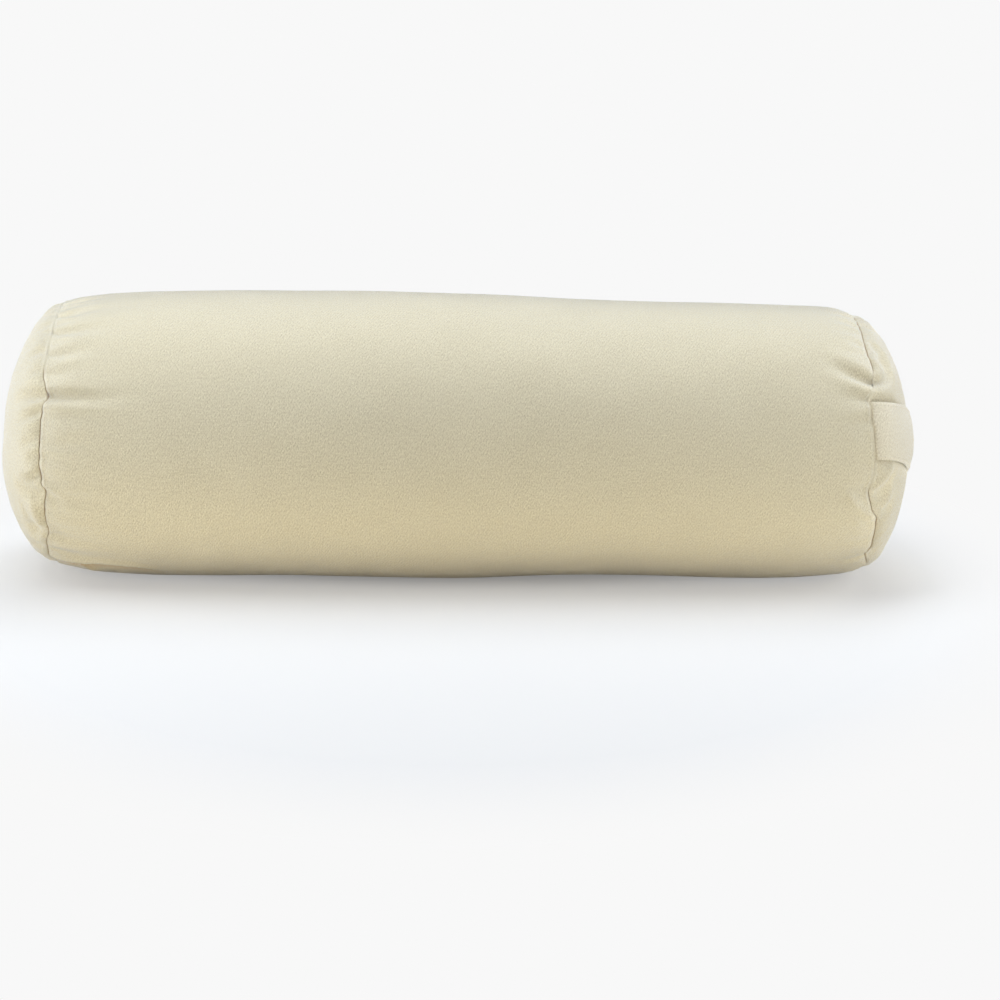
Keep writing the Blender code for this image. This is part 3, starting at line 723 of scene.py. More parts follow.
def gatheredHeights(name, distance, angle):
    # the settled strip's height at a distance from the seam and a turn
    if name not in settledGathers:
        return 0.0
    rowsAt, turnsAt, height = settledGathers[name]
    distance, angle = np.broadcast_arrays(distance, angle)
    turn = turnsAt[0] + (angle - turnsAt[0]) % math.tau
    r = np.clip(np.interp(distance, rowsAt, np.arange(len(rowsAt))), 0, len(rowsAt) - 1.001)
    c = np.clip(np.interp(turn, turnsAt, np.arange(len(turnsAt))), 0, len(turnsAt) - 1.001)
    r0, c0 = r.astype(int), c.astype(int)
    fr, fc = smoothStep(r - r0) * 0.3 + (r - r0) * 0.7, c - c0
    upper = height[r0, c0] * (1 - fc) + height[r0, c0 + 1] * fc
    lower = height[r0 + 1, c0] * (1 - fc) + height[r0 + 1, c0 + 1] * fc
    return np.where(distance <= rowsAt[-1], upper * (1 - fr) + lower * fr, 0.0) * gathers["share"][name]


settledGathers = {}
for side in (-1, 1):
    for part in ("tube", "dome"):
        settledGathers[sided(part, side)] = simulateGathers(side, part == "dome")
print("Cloth simulation done")


def clothHeights(name, distance, angle):
    return foldHeights(name, distance, angle) + gatheredHeights(name, distance, angle)


def rimHeights(side, angle):
    # the height at which the tube and the dome are sewn to each other
    zero = np.zeros(np.shape(angle))
    tubeRim, domeRim = (clothHeights(sided(part, side), zero, angle) for part in ("tube", "dome"))
    return tubeRim, domeRim, (tubeRim + domeRim) / 2


def eased(height):
    # a hollow goes no deeper than the filling lets it
    return np.where(height < 0, -folds["deepest"] * np.tanh(-height / folds["deepest"]), height)


def tubeHeights(x, angle):
    # every fold and soft wave of the tube, as a height over its filled shape
    distance = halfLength - np.abs(x)
    met = folded = 0.0
    for side in (-1, 1):
        tubeRim, _, shared = rimHeights(side, angle)
        met = met + np.where(np.sign(x) == side, (shared - tubeRim) * np.exp(-distance / seams["meet"]), 0.0)
        folded = folded + clothHeights(sided("tube", side), np.where(x * side > 0, distance, farAway), angle)
    fromZip = turnBetween(angle, zipAngle) * meanRadius
    zipped = smoothStep((fromZip - zipLine["calmFrom"]) / zipLine["calmOver"])
    zipped = np.where(np.abs(x) > zipHalf + zipLine["calmOver"], 1.0, zipped)
    lip = seams["lip"] * np.exp(-((distance - seams["lipAt"]) / seams["lipWidth"]) ** 2)
    lip = lip * (0.65 + 0.5 * np.sin(angle * 7 + 1.3) * np.sin(angle * 3.3))
    raised = np.where(x > 0, strap["lift"] * strapCover(angle) * np.exp(-distance / strap["liftReach"]), 0.0)
    waves = softWaves(x, angle * meanRadius) * zipped * smoothStep(distance / 0.02)
    return eased(folded + met) * zipped + waves + lip + raised


def domeHeights(side, distance, angle):
    distance, angle = np.broadcast_arrays(distance, angle)
    waves = softWaves(distance * np.cos(angle) + side, distance * np.sin(angle)) * np.minimum(distance / 0.03, 1.0)
    _, domeRim, shared = rimHeights(side, angle)
    met = (shared - domeRim) * np.exp(-distance / seams["meet"])
    return eased(clothHeights(sided("dome", side), distance, angle) + met) + waves


# Twill panel, rolled round the filling and closed by the zip

tubePiece = {"along": 300, "round": 300, "crowd": 1.6}


def seamDrop(opened):
    # the share of its drop that the cloth takes, from a closed to an open seam
    return seams["closedDrop"] + (1 - seams["closedDrop"]) * opened


def seamRidge(opened, distance):
    return seams["ridge"] * (1 - opened) * np.exp(-((distance / seams["ridgeWide"]) ** 2))


def seamShadeShare(opened):
    # an open seam gets more brown painted shade than a closed one
    return 0.25 + 0.75 * opened


def seamApart(opened):
    return seams["gap"] * opened - seams["overlap"] * (1 - opened)


def makeTube():
    roll, tuck, tuckRows, rollRows = (seams[key] for key in ("roll", "tuck", "tuckRows", "rollRows"))
    countAlong, countRound = tubePiece["along"], tubePiece["round"]
    clearSelection()
    bpy.ops.mesh.primitive_grid_add(x_subdivisions=countAlong - 1, y_subdivisions=countRound - 1, size=1)
    panel = named("tubeTwill")
    column, row = gridPositions(panel, countAlong, countRound)

    # stations along the bolster, closer together beside the seams
    inner = countAlong - 2 * (tuckRows + rollRows)
    even = np.linspace(-1, 1, inner)
    spread = np.sign(even) * (1 - (1 - np.abs(even)) ** tubePiece["crowd"])
    body = spread * (halfLength - roll)
    arc = np.linspace(0, math.pi / 2, rollRows + 1)[1:]
    rollX = halfLength - roll + roll * np.sin(arc)
    rollDrop = roll * (1 - np.cos(arc))
    tuckDrop = roll + np.linspace(tuck / tuckRows, tuck, tuckRows)
    xs = np.concatenate([-np.full(tuckRows, halfLength), -rollX[::-1], body, rollX, np.full(tuckRows, halfLength)])
    drops = np.concatenate([tuckDrop[::-1], rollDrop[::-1], np.zeros(inner), rollDrop, tuckDrop])

    # stations round the bolster, from one side of the zip to the other
    hemRows = zipLine["hemRows"]
    rounds = countRound - 2 * hemRows
    even = np.linspace(0, math.tau, 2000)
    fromLap = (zipAngle + even) % math.tau - math.radians(seams["lapTurn"])
    closer = 1 + seams["lapCloser"] * np.exp(-(fromLap / seams["lapSpread"]) ** 2)
    filled = np.concatenate([[0], np.cumsum((closer[1:] + closer[:-1]) / 2)])
    around = np.interp(np.linspace(0, filled[-1], rounds), filled, even / math.tau)
    share = np.concatenate([np.zeros(hemRows), around, np.ones(hemRows)])
    x = xs[:, None]
    narrowing = smoothStep((np.abs(x) - zipHalf - zipLine["closeAfter"]) / zipLine["closeOver"])
    slot = zipLine["slotHalf"] * (1 - narrowing) + zipLine["closedHalf"] * narrowing
    slotTurn = slot / meanRadius
    angle = zipAngle + slotTurn + (math.tau - 2 * slotTurn) * share[None, :]
    surface = tubeSurface(x, angle)
    normal = -normalsOf(surface)
    centre = np.stack([xs + bolster["middleX"], np.zeros(len(xs)), axisHeight(xs)], axis=-1)[:, None, :]
    if np.mean(np.sum(normal * (surface - centre), axis=2)) < 0:
        normal = -normal
    surface = surface + normal * tubeHeights(x, angle)[:, :, None]

    # the panel's ends roll over and tuck into the end seams
    side = np.sign(x)
    fromSeam = halfLength - np.abs(x)
    wave = np.where(side < 0, seamWave(-1, angle), seamWave(1, angle))
    surface[:, :, 0] += wave * np.exp(-fromSeam / seams["reach"])
    inward = unit((centre - surface) * np.array([0.0, 1.0, 1.0]))
    opened = np.where(side < 0, seamOpen(-1, angle), seamOpen(1, angle))
    surface = surface + inward * drops[:, None, None] * seamDrop(opened)[:, :, None]
    surface = surface - inward * seamRidge(opened, fromSeam)[:, :, None]
    surface[:, :, 0] -= side * seamApart(opened) / 2 * np.exp(-fromSeam / seams["partReach"])
    shut = np.clip((drops[:, None] - roll) / seams["closeBy"], 0, 1)
    surface[:, :, 0] += side * (seams["gap"] / 2 + seams["shut"]) * shut * opened
    surface[:, :, 2] = np.maximum(surface[:, :, 2], 0.0)

    # its long edges fold under beside the zip and meet beyond it
    hemArc = np.linspace(0, math.pi, hemRows + 1)[1:]
    for number in range(hemRows):
        under = zipLine["hemDrop"] / 2 * (1 - math.cos(hemArc[number]))
        back = zipLine["hem"] if number == hemRows - 1 else 0.0
        forward = zipLine["hemDrop"] / 2 * math.sin(hemArc[number])
        for at, sign in ((hemRows - 1 - number, 1), (countRound - hemRows + number, -1)):
            edge = hemRows if sign > 0 else countRound - hemRows - 1
            ahead = unit(surface[:, edge + sign * 3] - surface[:, edge])
            surface[:, at] = surface[:, edge] - normal[:, edge] * under + ahead * (back - forward)
    movePoints(panel, surface[column, row])

    # painted shade in the seam and under the lap, and painted highlights on the seam's edge and the lap's lip
    folds["lapOnly"] = [fold for fold in folds["tubeLeft"] if fold[1] == "lap"]
    lap = foldHeights("lapOnly", np.where(x < 0, fromSeam, farAway), angle)
    inSeam = smoothStep((drops - 0.05 * roll) / (0.7 * roll))[:, None]
    shadeUnderLap = 0.75 * np.clip(-lap / seams["lapShade"], 0, 1)
    markPoints(panel, "tuck", np.maximum(inSeam * seamShadeShare(opened), shadeUnderLap)[column, row])
    # a painted highlight along the seam's edge, where the seam is closed
    wearAndHighlight = np.exp(-(((fromSeam - seams["highlightTube"]) / seams["highlightTube"]) ** 2)) * (1 - inSeam * opened)
    markPoints(panel, "edge", np.maximum(wearAndHighlight, np.clip(lap / seams["lapHighlight"], 0, 1))[column, row])
    flatRound = np.concatenate([
        np.linspace(-zipLine["hem"], 0, hemRows, endpoint=False),
        around * math.tau * meanRadius,
        math.tau * meanRadius + np.linspace(0, zipLine["hem"], hemRows + 1)[1:],
    ])
    flatAlong = xs + np.sign(xs) * drops
    layFlat(panel, np.stack([flatAlong[column], flatRound[row]], axis=-1))
    faceOut(panel)
    return panel


def faceOut(piece):
    mesh = piece.data
    outward = 0.0
    middle = Vector((bolster["middleX"], 0, bolster["middleZ"]))
    for number in range(0, len(mesh.polygons), max(1, len(mesh.polygons) // 400)):
        polygon = mesh.polygons[number]
        outward += polygon.normal.dot((polygon.center - middle).normalized())
    if outward < 0:
        mesh.flip_normals()
    makeSmooth(piece)


# Domed end panels

domePiece = {"segments": 256, "rings": 84, "crowd": 1.15}


def makeDome(side, name):
    roll, tuck, tuckRows, rollRows = (seams[key] for key in ("roll", "tuck", "tuckRows", "rollRows"))
    segments, rings = domePiece["segments"], domePiece["rings"]
    clearSelection()
    bpy.ops.mesh.primitive_uv_sphere_add(segments=segments, ring_count=rings * 2, radius=1)
    dome = named(name)
    startEdit()
    bpy.ops.mesh.bisect(plane_co=(0, 0, -1e-4), plane_no=(0, 0, 1), clear_inner=True)
    endEdit()
    points = pointsOf(dome.data)
    latitude = np.arcsin(np.clip(points[:, 2], -1, 1))
    ring = np.clip(np.rint(latitude / (math.pi / 2) * rings), 0, rings)
    angle = np.arctan2(points[:, 1], points[:, 0])

    # rings near the rim are the tuck and the roll, the others climb the dome
    sampleTurn, run = domeRun(side)
    rimRows = tuckRows + rollRows
    climb = np.clip((ring - rimRows) / (rings - rimRows), 0, 1)
    turn = sampleTurn[0] + (math.pi / 2 - sampleTurn[0]) * climb ** domePiece["crowd"]
    surface = domeSurface(side, turn, angle)
    distance = np.interp(turn, sampleTurn, run)

    # outward direction of the smooth dome
    step = 1e-4
    ahead, behind = (domeSurface(side, np.clip(turn + s, 0, math.pi / 2), angle) for s in (step, -step))
    aside = domeSurface(side, turn, angle + step) - domeSurface(side, turn, angle - step)
    normal = np.cross(ahead - behind, aside)
    size = np.linalg.norm(normal, axis=1, keepdims=True)
    normal = np.where(size > 1e-14, normal / np.maximum(size, 1e-14), np.array([side, 0.0, 0.0]))
    axis = np.array([bolster["middleX"] + side * halfLength * 0.8, 0, axisHeight(side * halfLength)])
    normal = normal * np.sign(np.sum(normal * (surface - axis), axis=1, keepdims=True))
    surface = surface + normal * domeHeights(side, distance, angle)[:, None]

    # the rim follows the seam, then rolls over and tucks in
    surface[:, 0] += seamWave(side, angle) * np.exp(-distance / seams["reach"])
    inward = (axis - surface) * np.array([0.0, 1.0, 1.0])
    inward = inward / np.maximum(np.linalg.norm(inward, axis=1, keepdims=True), 1e-9)
    rollStep = np.clip((rimRows - ring) / rollRows, 0, 1) * (math.pi / 2)
    rolled = ring < rimRows
    back = np.where(rolled, roll * np.sin(rollStep), 0.0)
    drop = np.where(rolled, roll * (1 - np.cos(rollStep)), 0.0)
    tucked = np.clip((tuckRows - ring) / tuckRows, 0, 1)
    drop = drop + tucked * tuck
    surface[:, 0] -= side * back
    opened = seamOpen(side, angle)
    surface[:, 0] += side * seamApart(opened) / 2 * np.exp(-distance / seams["partReach"])
    surface = surface + inward * (drop * seamDrop(opened))[:, None]
    surface = surface - inward * seamRidge(opened, distance)[:, None]
    shut = np.clip(tucked * tuck / seams["closeBy"], 0, 1)
    surface[:, 0] -= side * (seams["gap"] / 2 + seams["shut"]) * shut * opened
    surface[:, 2] = np.maximum(surface[:, 2], 0.0)
    movePoints(dome, surface)
    # painted shade deep in the seam, and a painted highlight on its edge where the seam is closed
    markPoints(dome, "tuck", smoothStep((rimRows - 1 - ring) / 3) * seamShadeShare(opened))
    markPoints(dome, "edge", np.exp(-((distance / seams["highlightDome"]) ** 2)) * (1 - opened))

    flatRadius = run[-1] - distance + drop + back
    layFlat(dome, np.stack([flatRadius * np.cos(angle), flatRadius * np.sin(angle)], axis=-1))
    faceOut(dome)
    return dome


# Carry strap of folded twill across the right end

def strapLine():
    half = strap["thick"] / 2
    outer = bolster["seamRadius"] + strap["clear"] + half
    line = [(bolster["seamRadius"] - inset, strap["start"]) for inset in strap["tail"]]
    for step in range(strap["bendSteps"] + 1):
        turn = math.pi / 2 * step / strap["bendSteps"]
        inside, above = (strap["bend"] * (1 - share) for share in (math.sin(turn), math.cos(turn)))
        line.append((outer - inside, strap["start"] + above))
    foot = strap["start"] + strap["bend"]
    top = strap["rise"] - half - foot
    power = 2 / bolster["domeRound"]
    for step in range(1, strap["archSteps"] + 1):
        turn = math.pi / 2 * step / strap["archSteps"]
        line.append((outer * max(math.cos(turn), 0) ** power, foot + top * math.sin(turn) ** power))
    line = np.array(line)
    whole = np.concatenate([line, (line * np.array([-1, 1]))[::-1][1:]])
    run = np.concatenate([[0], np.cumsum(np.linalg.norm(np.diff(whole, axis=0), axis=1))])
    even = np.linspace(0, run[-1], strap["along"])
    return np.stack([np.interp(even, run, whole[:, 0]), np.interp(even, run, whole[:, 1])], axis=-1), even


def strapPoint(radius, rise, across):
    outer = bolster["seamRadius"] + strap["clear"] + strap["thick"] / 2
    turn = math.radians(strap["angle"])
    along = radius * np.sqrt(np.maximum(1 - (across / outer) ** 2, 0))
    cup = strap["cup"] * (across / (strap["width"] / 2)) ** 2
    cup = cup * (1 - np.minimum(np.abs(radius) / outer, 1) ** 2)
    y = math.cos(turn) * along - math.sin(turn) * across
    offsetZ = math.sin(turn) * along + math.cos(turn) * across
    share = np.minimum(1.0, (np.hypot(y, offsetZ) / bolster["leanReach"]) ** 2)
    # its roots follow the wandering seam
    wave = seamWave(1, np.arctan2(offsetZ, y)) * np.exp(-np.maximum(rise, 0) / strap["rootReach"])
    x = leaned(1, halfLength + rise - cup, offsetZ, share) + wave
    return np.stack([x + bolster["middleX"], y, axisHeight(halfLength) + offsetZ], axis=-1)


def strapSide(radius, across):
    # the strap is narrower and a little higher where it is sewn in
    halfWidth = strap["width"] / 2
    atSeam = smoothStep(np.abs(radius) / bolster["seamRadius"] * 1.6 - 0.6)
    side = across * (halfWidth + (strap["seamWidth"] / 2 - halfWidth) * atSeam)
    return side + strap["seamShift"] * atSeam * np.where(radius > 0, -1, 1)


def makeStrap():
    line, run = strapLine()
    countAlong, countRound = strap["along"], strap["round"]
    clearSelection()
    bpy.ops.mesh.primitive_grid_add(x_subdivisions=countAlong - 1, y_subdivisions=countRound, size=1)
    band = named("carryStrap")
    column, row = gridPositions(band, countAlong, countRound + 1)
    turn = row / countRound * math.tau
    halfWidth, halfThick = strap["width"] / 2, strap["thick"] / 2
    cosine, sine = np.cos(turn), np.sin(turn)
    across = np.sign(cosine) * np.abs(cosine) ** strap["edgeRound"]
    lift = np.sign(sine) * np.abs(sine) ** strap["edgeRound"]
    tangent = unit(np.gradient(line, axis=0))
    away = np.stack([-tangent[:, 1], tangent[:, 0]], axis=-1)
    away = away * np.sign(np.sum(away * (line - strap["middle"]), axis=1))[:, None]
    at = line[column] + away[column] * (lift * halfThick)[:, None]
    points = strapPoint(at[:, 0], at[:, 1], strapSide(at[:, 0], across))
    movePoints(band, points)
    layFlat(band, np.stack([run[column], across * halfWidth + np.where(lift < 0, 0.06, 0)], axis=-1))
    startEdit()
    bpy.ops.mesh.remove_doubles(threshold=1e-6)
    bpy.ops.mesh.select_all(action="DESELECT")
    bpy.ops.mesh.select_mode(type="EDGE")
    bpy.ops.mesh.select_non_manifold()
    bpy.ops.mesh.fill()
    bpy.ops.mesh.select_all(action="SELECT")
    bpy.ops.mesh.normals_make_consistent(inside=False)
    endEdit()
    makeSmooth(band)
    return band


# Stitches: one short thread, copied along each seam

stitches = {
    "pitch": 0.0031,
    "long": 0.0023,
    "wide": 0.00055,
    "high": 0.00032,
    "strapEdge": 0.0030,
    "strapStart": 0.0085,
    "probe": 0.0004,
    "slope": 0.0006,
    "sink": 0.00002,
    "above": 0.001,
    "ahead": 0.001,
    "hemEdge": 0.0046,
    "hemRuns": 0.505,
}


def makeStitches(name, places):
    # places are rows of a point, the thread's direction and the cloth's outward direction
    clearSelection()
    bpy.ops.mesh.primitive_uv_sphere_add(segments=6, ring_count=4, radius=0.5)
    thread = named(name)
    startEdit()
    bpy.ops.transform.resize(value=(stitches["wide"], stitches["high"] * 2, stitches["long"]))
    endEdit()
    copies = []
    for point, ahead, outward in places:
        across = np.cross(ahead, outward)
        across = across / np.linalg.norm(across)
        outward = np.cross(across, ahead)
        matrix = Matrix.Identity(4)
        directions = [direction / np.linalg.norm(direction) for direction in (across, outward, ahead)]
        for axis, column in enumerate((*directions, point)):
            for row in range(3):
                matrix[row][axis] = float(column[row])
        copied = bpy.data.objects.new(name + "Copy", thread.data.copy())
        copied.data.transform(matrix)
        bpy.context.scene.collection.objects.link(copied)
        copies.append(copied)
    bpy.data.objects.remove(thread)
    clearSelection()
    for copied in copies:
        copied.select_set(True)
    bpy.context.view_layer.objects.active = copies[0]
    bpy.ops.object.join()
    joined = named(name)
    makeSmooth(joined)
    return joined


def strapStitchPlaces():
    line, run = strapLine()
    places = []
    start = stitches["strapStart"]
    count = int((run[-1] - 2 * start) / stitches["pitch"])
    for number in range(count + 1):
        at = start + number * stitches["pitch"]
        for edge in (-1, 1):
            point, outward = strapOuterPoint(line, run, at - stitches["probe"], edge)
            ahead = strapOuterPoint(line, run, at + stitches["probe"], edge)[0] - point
            places.append((point, ahead, outward))
    return places


def strapOuterPoint(line, run, at, edge):
    halfThick = strap["thick"] / 2
    steps = (-stitches["slope"], 0.0, stitches["slope"])
    before, here, after = (np.array([np.interp(at + step, run, line[:, axis]) for axis in range(2)]) for step in steps)
    tangent = after - before
    away = np.array([-tangent[1], tangent[0]])
    away = away / np.linalg.norm(away)
    if np.dot(away, here - strap["middle"]) < 0:
        away = -away
    outer = here + away * (halfThick - stitches["sink"])
    fromMiddle = 1 - stitches["strapEdge"] / (strap["width"] / 2)
    side = strapSide(outer[:1], np.array([edge * fromMiddle]))
    point = strapPoint(outer[:1], outer[1:], side)[0]
    above = here + away * (halfThick + stitches["above"])
    outward = strapPoint(above[:1], above[1:], side)[0] - point
    return point, outward / np.linalg.norm(outward)


def tubePoint(x, angle):
    # a point of the finished tube and its outward direction
    step = 4e-4
    xs = np.array([[x - step], [x], [x + step]])
    turns = np.array([[angle - step * 8, angle, angle + step * 8]])
    surface = tubeSurface(xs, turns)
    normal = normalsOf(surface)[1, 1]
    centre = np.array([x + bolster["middleX"], 0, axisHeight(x)])
    if np.dot(normal, surface[1, 1] - centre) < 0:
        normal = -normal
    return surface[1, 1] + normal * float(tubeHeights(np.array([x]), np.array([angle]))[0]), normal


def hemStitchPlaces():
    places = []
    count = int(stitches["hemRuns"] / stitches["pitch"])
    for side in (-1, 1):
        for number in range(count + 1):
            x = -stitches["hemRuns"] / 2 + number * stitches["pitch"]
            angle = zipAngle + side * (zipLine["slotHalf"] + stitches["hemEdge"]) / meanRadius
            point, normal = tubePoint(x, angle)
            further = tubePoint(x + stitches["ahead"], angle)[0]
            places.append((point, further - point, normal))
    return places


# Liner and batting, a little smaller than the folds of the cover above them

innerLayers = {
    "linerTube": ("liner_body", 0.0062, "liner"),
    "linerLeftEnd": ("liner_end_left", 0.0056, "liner"),
    "linerRightEnd": ("liner_end_right", 0.0056, "liner"),
    "battingRoll": ("batting_wrap", 0.0066, "battingRoll"),
    "battingLeftPad": ("batting_pad_left", 0.0060, "battingPad"),
    "battingRightPad": ("batting_pad_right", 0.0060, "battingPad"),
}


innerSkin = {"from": 0.082, "over": 0.004, "thinnest": 0.03, "endFrom": 0.0006, "endShare": 0.5, "endPull": 1.4}


def makeInnerLayer(name, node, shrink):
    clearSelection()
    piece = bpy.data.objects.new(name, nodes[node].data.copy())
    bpy.context.scene.collection.objects.link(piece)
    piece.data.name = name
    bpy.context.view_layer.objects.active = piece
    piece.select_set(True)
    startEdit()
    bpy.ops.mesh.remove_doubles(threshold=1e-6)
    endEdit()
    points = pointsOf(piece.data)
    along = points[:, 0] - bolster["middleX"]
    axis = axisHeight(np.clip(along, -halfLength, halfLength))
    radius = np.hypot(points[:, 1], points[:, 2] - axis)
    outer = smoothStep((radius - innerSkin["from"]) / innerSkin["over"])
    ended = np.maximum(np.abs(along) - halfLength, 0)
    outer = np.where(ended > innerSkin["endFrom"], 1.0, outer)
    factor = 1 - shrink * outer / np.maximum(radius, innerSkin["thinnest"])
    points[:, 1] *= factor
    points[:, 2] = axis + (points[:, 2] - axis) * factor
    points[:, 0] -= np.sign(along) * np.minimum(shrink, ended * innerSkin["endShare"]) * innerSkin["endPull"]
    movePoints(piece, points)
    makeSmooth(piece)
    return piece


# Shared effects for the materials

def newGroup(name, inputs, outputs):
    group = bpy.data.node_groups.new(name, "ShaderNodeTree")
    for label, kind, value in inputs:
        socket = group.interface.new_socket(name=label, in_out="INPUT", socket_type="NodeSocket" + kind)
        if value is not None:
            socket.default_value = value
    for label, kind in outputs:
        group.interface.new_socket(name=label, in_out="OUTPUT", socket_type="NodeSocket" + kind)
    return group, group.nodes.new("NodeGroupInput"), group.nodes.new("NodeGroupOutput")


def newNode(tree, kind, **settings):
    node = tree.nodes.new("ShaderNode" + kind)
    for key, value in settings.items():
        setattr(node, key, value)
    return node


def feed(tree, node, values):
    # each input, by name or number, gets a link or a plain value
    for label, value in values.items():
        socket = node.inputs[label]
        if isinstance(value, bpy.types.NodeSocket):
            tree.links.new(value, socket)
        elif value is not None:
            shortColour = socket.type == "RGBA" and len(value) == 3
            socket.default_value = (*value, 1) if shortColour else value
    return node


def calc(tree, operation, first, second=None, third=None):
    node = newNode(tree, "Math", operation=operation)
    return feed(tree, node, {0: first, 1: second, 2: third}).outputs[0]


def add(tree, first, second):
    return calc(tree, "ADD", first, second)


def mul(tree, first, second):
    return calc(tree, "MULTIPLY", first, second)


def fade(tree, value, low, high, outLow=0.0, outHigh=1.0):
    node = newNode(tree, "MapRange", interpolation_type="SMOOTHSTEP")
    limits = {"From Min": low, "From Max": high, "To Min": outLow, "To Max": outHigh}
    return feed(tree, node, {"Value": value, **limits}).outputs["Result"]


def blendColour(tree, share, first, second):
    node = newNode(tree, "Mix", data_type="RGBA")
    return feed(tree, node, {0: share, 6: first, 7: second}).outputs[2]


def stretched(tree, vector, scale, turn=(0, 0, 0)):
    node = newNode(tree, "Mapping")
    return feed(tree, node, {"Vector": vector, "Scale": scale, "Rotation": turn}).outputs["Vector"]


def noise(tree, vector, scale, detail=2.0, rough=0.5):
    look = {"Scale": scale, "Detail": detail, "Roughness": rough}
    return feed(tree, newNode(tree, "TexNoise"), {"Vector": vector, **look}).outputs["Fac"]


def objectPlace(tree):
    return newNode(tree, "TexCoord").outputs["Object"]


def pointMark(tree, name):
    return newNode(tree, "Attribute", attribute_name=name).outputs["Fac"]


weave = {"wobbleScale": 240, "wobble": 0.0011, "patchScale": 260}


def makeTwillWeave():
    # a twill with steep diagonal ribs, in lengths of the piece's own cloth map
    group, given, put = newGroup(
        "twillWeave",
        [("Vector", "Vector", None)] + [(name, "Float", 1.0) for name in ("Thread", "Over", "Steep")],
        [(name, "Float") for name in ("Height", "Weft", "Gap", "Rib")],
    )
    vector, thread, over, steep = (given.outputs[name] for name in ("Vector", "Thread", "Over", "Steep"))
    wobble = feed(group, newNode(group, "TexNoise"), {"Vector": vector, "Scale": weave["wobbleScale"]})
    centred = newNode(group, "VectorMath", operation="SUBTRACT")
    feed(group, centred, {0: wobble.outputs["Color"], 1: (0.5, 0.5, 0.5)})
    moved = newNode(group, "VectorMath", operation="MULTIPLY_ADD")
    feed(group, moved, {0: centred.outputs[0], 1: (weave["wobble"], weave["wobble"], 0), 2: vector})
    parts = feed(group, newNode(group, "SeparateXYZ"), {0: moved.outputs[0]})
    u = calc(group, "DIVIDE", parts.outputs["X"], thread)
    v = calc(group, "DIVIDE", parts.outputs["Y"], mul(group, thread, steep))
    stepSum = add(group, calc(group, "FLOOR", u), calc(group, "FLOOR", v))
    weft = calc(group, "LESS_THAN", calc(group, "FLOORED_MODULO", stepSum, over), 0.5)
    crownU, crownV = (calc(group, "ABSOLUTE", calc(group, "SINE", mul(group, run, math.pi))) for run in (u, v))
    warpHigh = mul(group, crownU, add(group, mul(group, crownV, 0.25), 0.75))
    weftHigh = mul(group, crownV, add(group, mul(group, crownU, 0.35), 0.55))
    height = feed(group, newNode(group, "Mix"), {0: weft, 2: warpHigh, 3: weftHigh}).outputs[0]
    # the ribs come and go along the cloth
    turns = mul(group, calc(group, "DIVIDE", add(group, u, v), over), math.tau)
    patchy = fade(group, noise(group, moved.outputs[0], weave["patchScale"]), 0.34, 0.62, 0.25, 1.0)
    rib = calc(group, "MULTIPLY_ADD", mul(group, calc(group, "SINE", turns), patchy), 0.5, 0.5)
    # where the yarn dips between threads, a mask for painted shade
    gap = fade(group, height, 0.05, 0.5, 1.0, 0.0)
    feed(group, put, {"Height": height, "Weft": weft, "Gap": gap, "Rib": rib})
    return group


def makeClothTone():
    # slubs, mottling and a few dark flecks of undyed cotton, with painted shade between the threads and along the ribs
    group, given, put = newGroup(
        "clothTone",
        [("Vector", "Vector", None), ("Colour", "Color", None)]
        + [(name, "Float", 0.5) for name in ("Slub", "Mottle", "Weft", "Gap", "Rib")],
        [("Colour", "Color"), ("Fuzz", "Float")],
    )
    vector = given.outputs["Vector"]
    slubU = noise(group, stretched(group, vector, (95, 1500, 1)), 1.0, 2.0)
    slubV = noise(group, stretched(group, vector, (1300, 80, 1)), 1.0, 2.0)
    grain = noise(group, stretched(group, vector, (1.5, 0.8, 1), (0, 0, 0.8)), 700, 3.0, 0.7)
    cloud = noise(group, vector, 26, 3.0, 0.6)
    slub = calc(group, "SUBTRACT", add(group, slubU, slubV), 1.0)
    rib = given.outputs["Rib"]
    offGrain, offCloud, offRib = (calc(group, "SUBTRACT", value, 0.5) for value in (grain, cloud, rib))
    rough = add(group, mul(group, slub, 0.22), mul(group, offGrain, 2.4))
    tone = mul(group, rough, given.outputs["Slub"])
    mottle = mul(group, offCloud, mul(group, given.outputs["Mottle"], 0.16))
    # the gaps between threads get painted shade and the weft its own darker tone; the ribs get painted shade in their
    # hollows and painted light on their crowns
    weftAndGapShade = add(group, mul(group, given.outputs["Gap"], -0.12), mul(group, given.outputs["Weft"], -0.11))
    ribShading = mul(group, offRib, 0.20)
    total = add(group, add(group, add(group, tone, mottle), add(group, weftAndGapShade, ribShading)), 1.07)
    # darker tone is tinted warm, as painted shade in the yarn's hollows, and lighter tone paler, as painted light on
    # its crowns
    ends = []
    for share in ((0.74, 0.68, 0.57), (1.26, 1.27, 1.33)):
        scaled = newNode(group, "VectorMath", operation="MULTIPLY")
        ends.append(feed(group, scaled, {0: given.outputs["Colour"], 1: share}).outputs[0])
    bright = blendColour(group, calc(group, "MULTIPLY_ADD", total, 1.7, -1.2), *ends)
    spots = feed(group, newNode(group, "TexVoronoi"), {"Vector": vector, "Scale": 34})
    chance = feed(group, newNode(group, "SeparateColor"), {0: spots.outputs["Color"]})
    rare = calc(group, "GREATER_THAN", chance.outputs[0], 0.86)
    fleck = mul(group, fade(group, spots.outputs["Distance"], 0.010, 0.022, 0.75, 0.0), rare)
    colour = blendColour(group, fleck, bright, (0.30, 0.22, 0.12))
    fuzz = add(group, mul(group, grain, 0.55), mul(group, slub, 0.6))
    feed(group, put, {"Colour": colour, "Fuzz": fuzz})
    return group


twillWeave = makeTwillWeave()
clothTone = makeClothTone()


# Materials

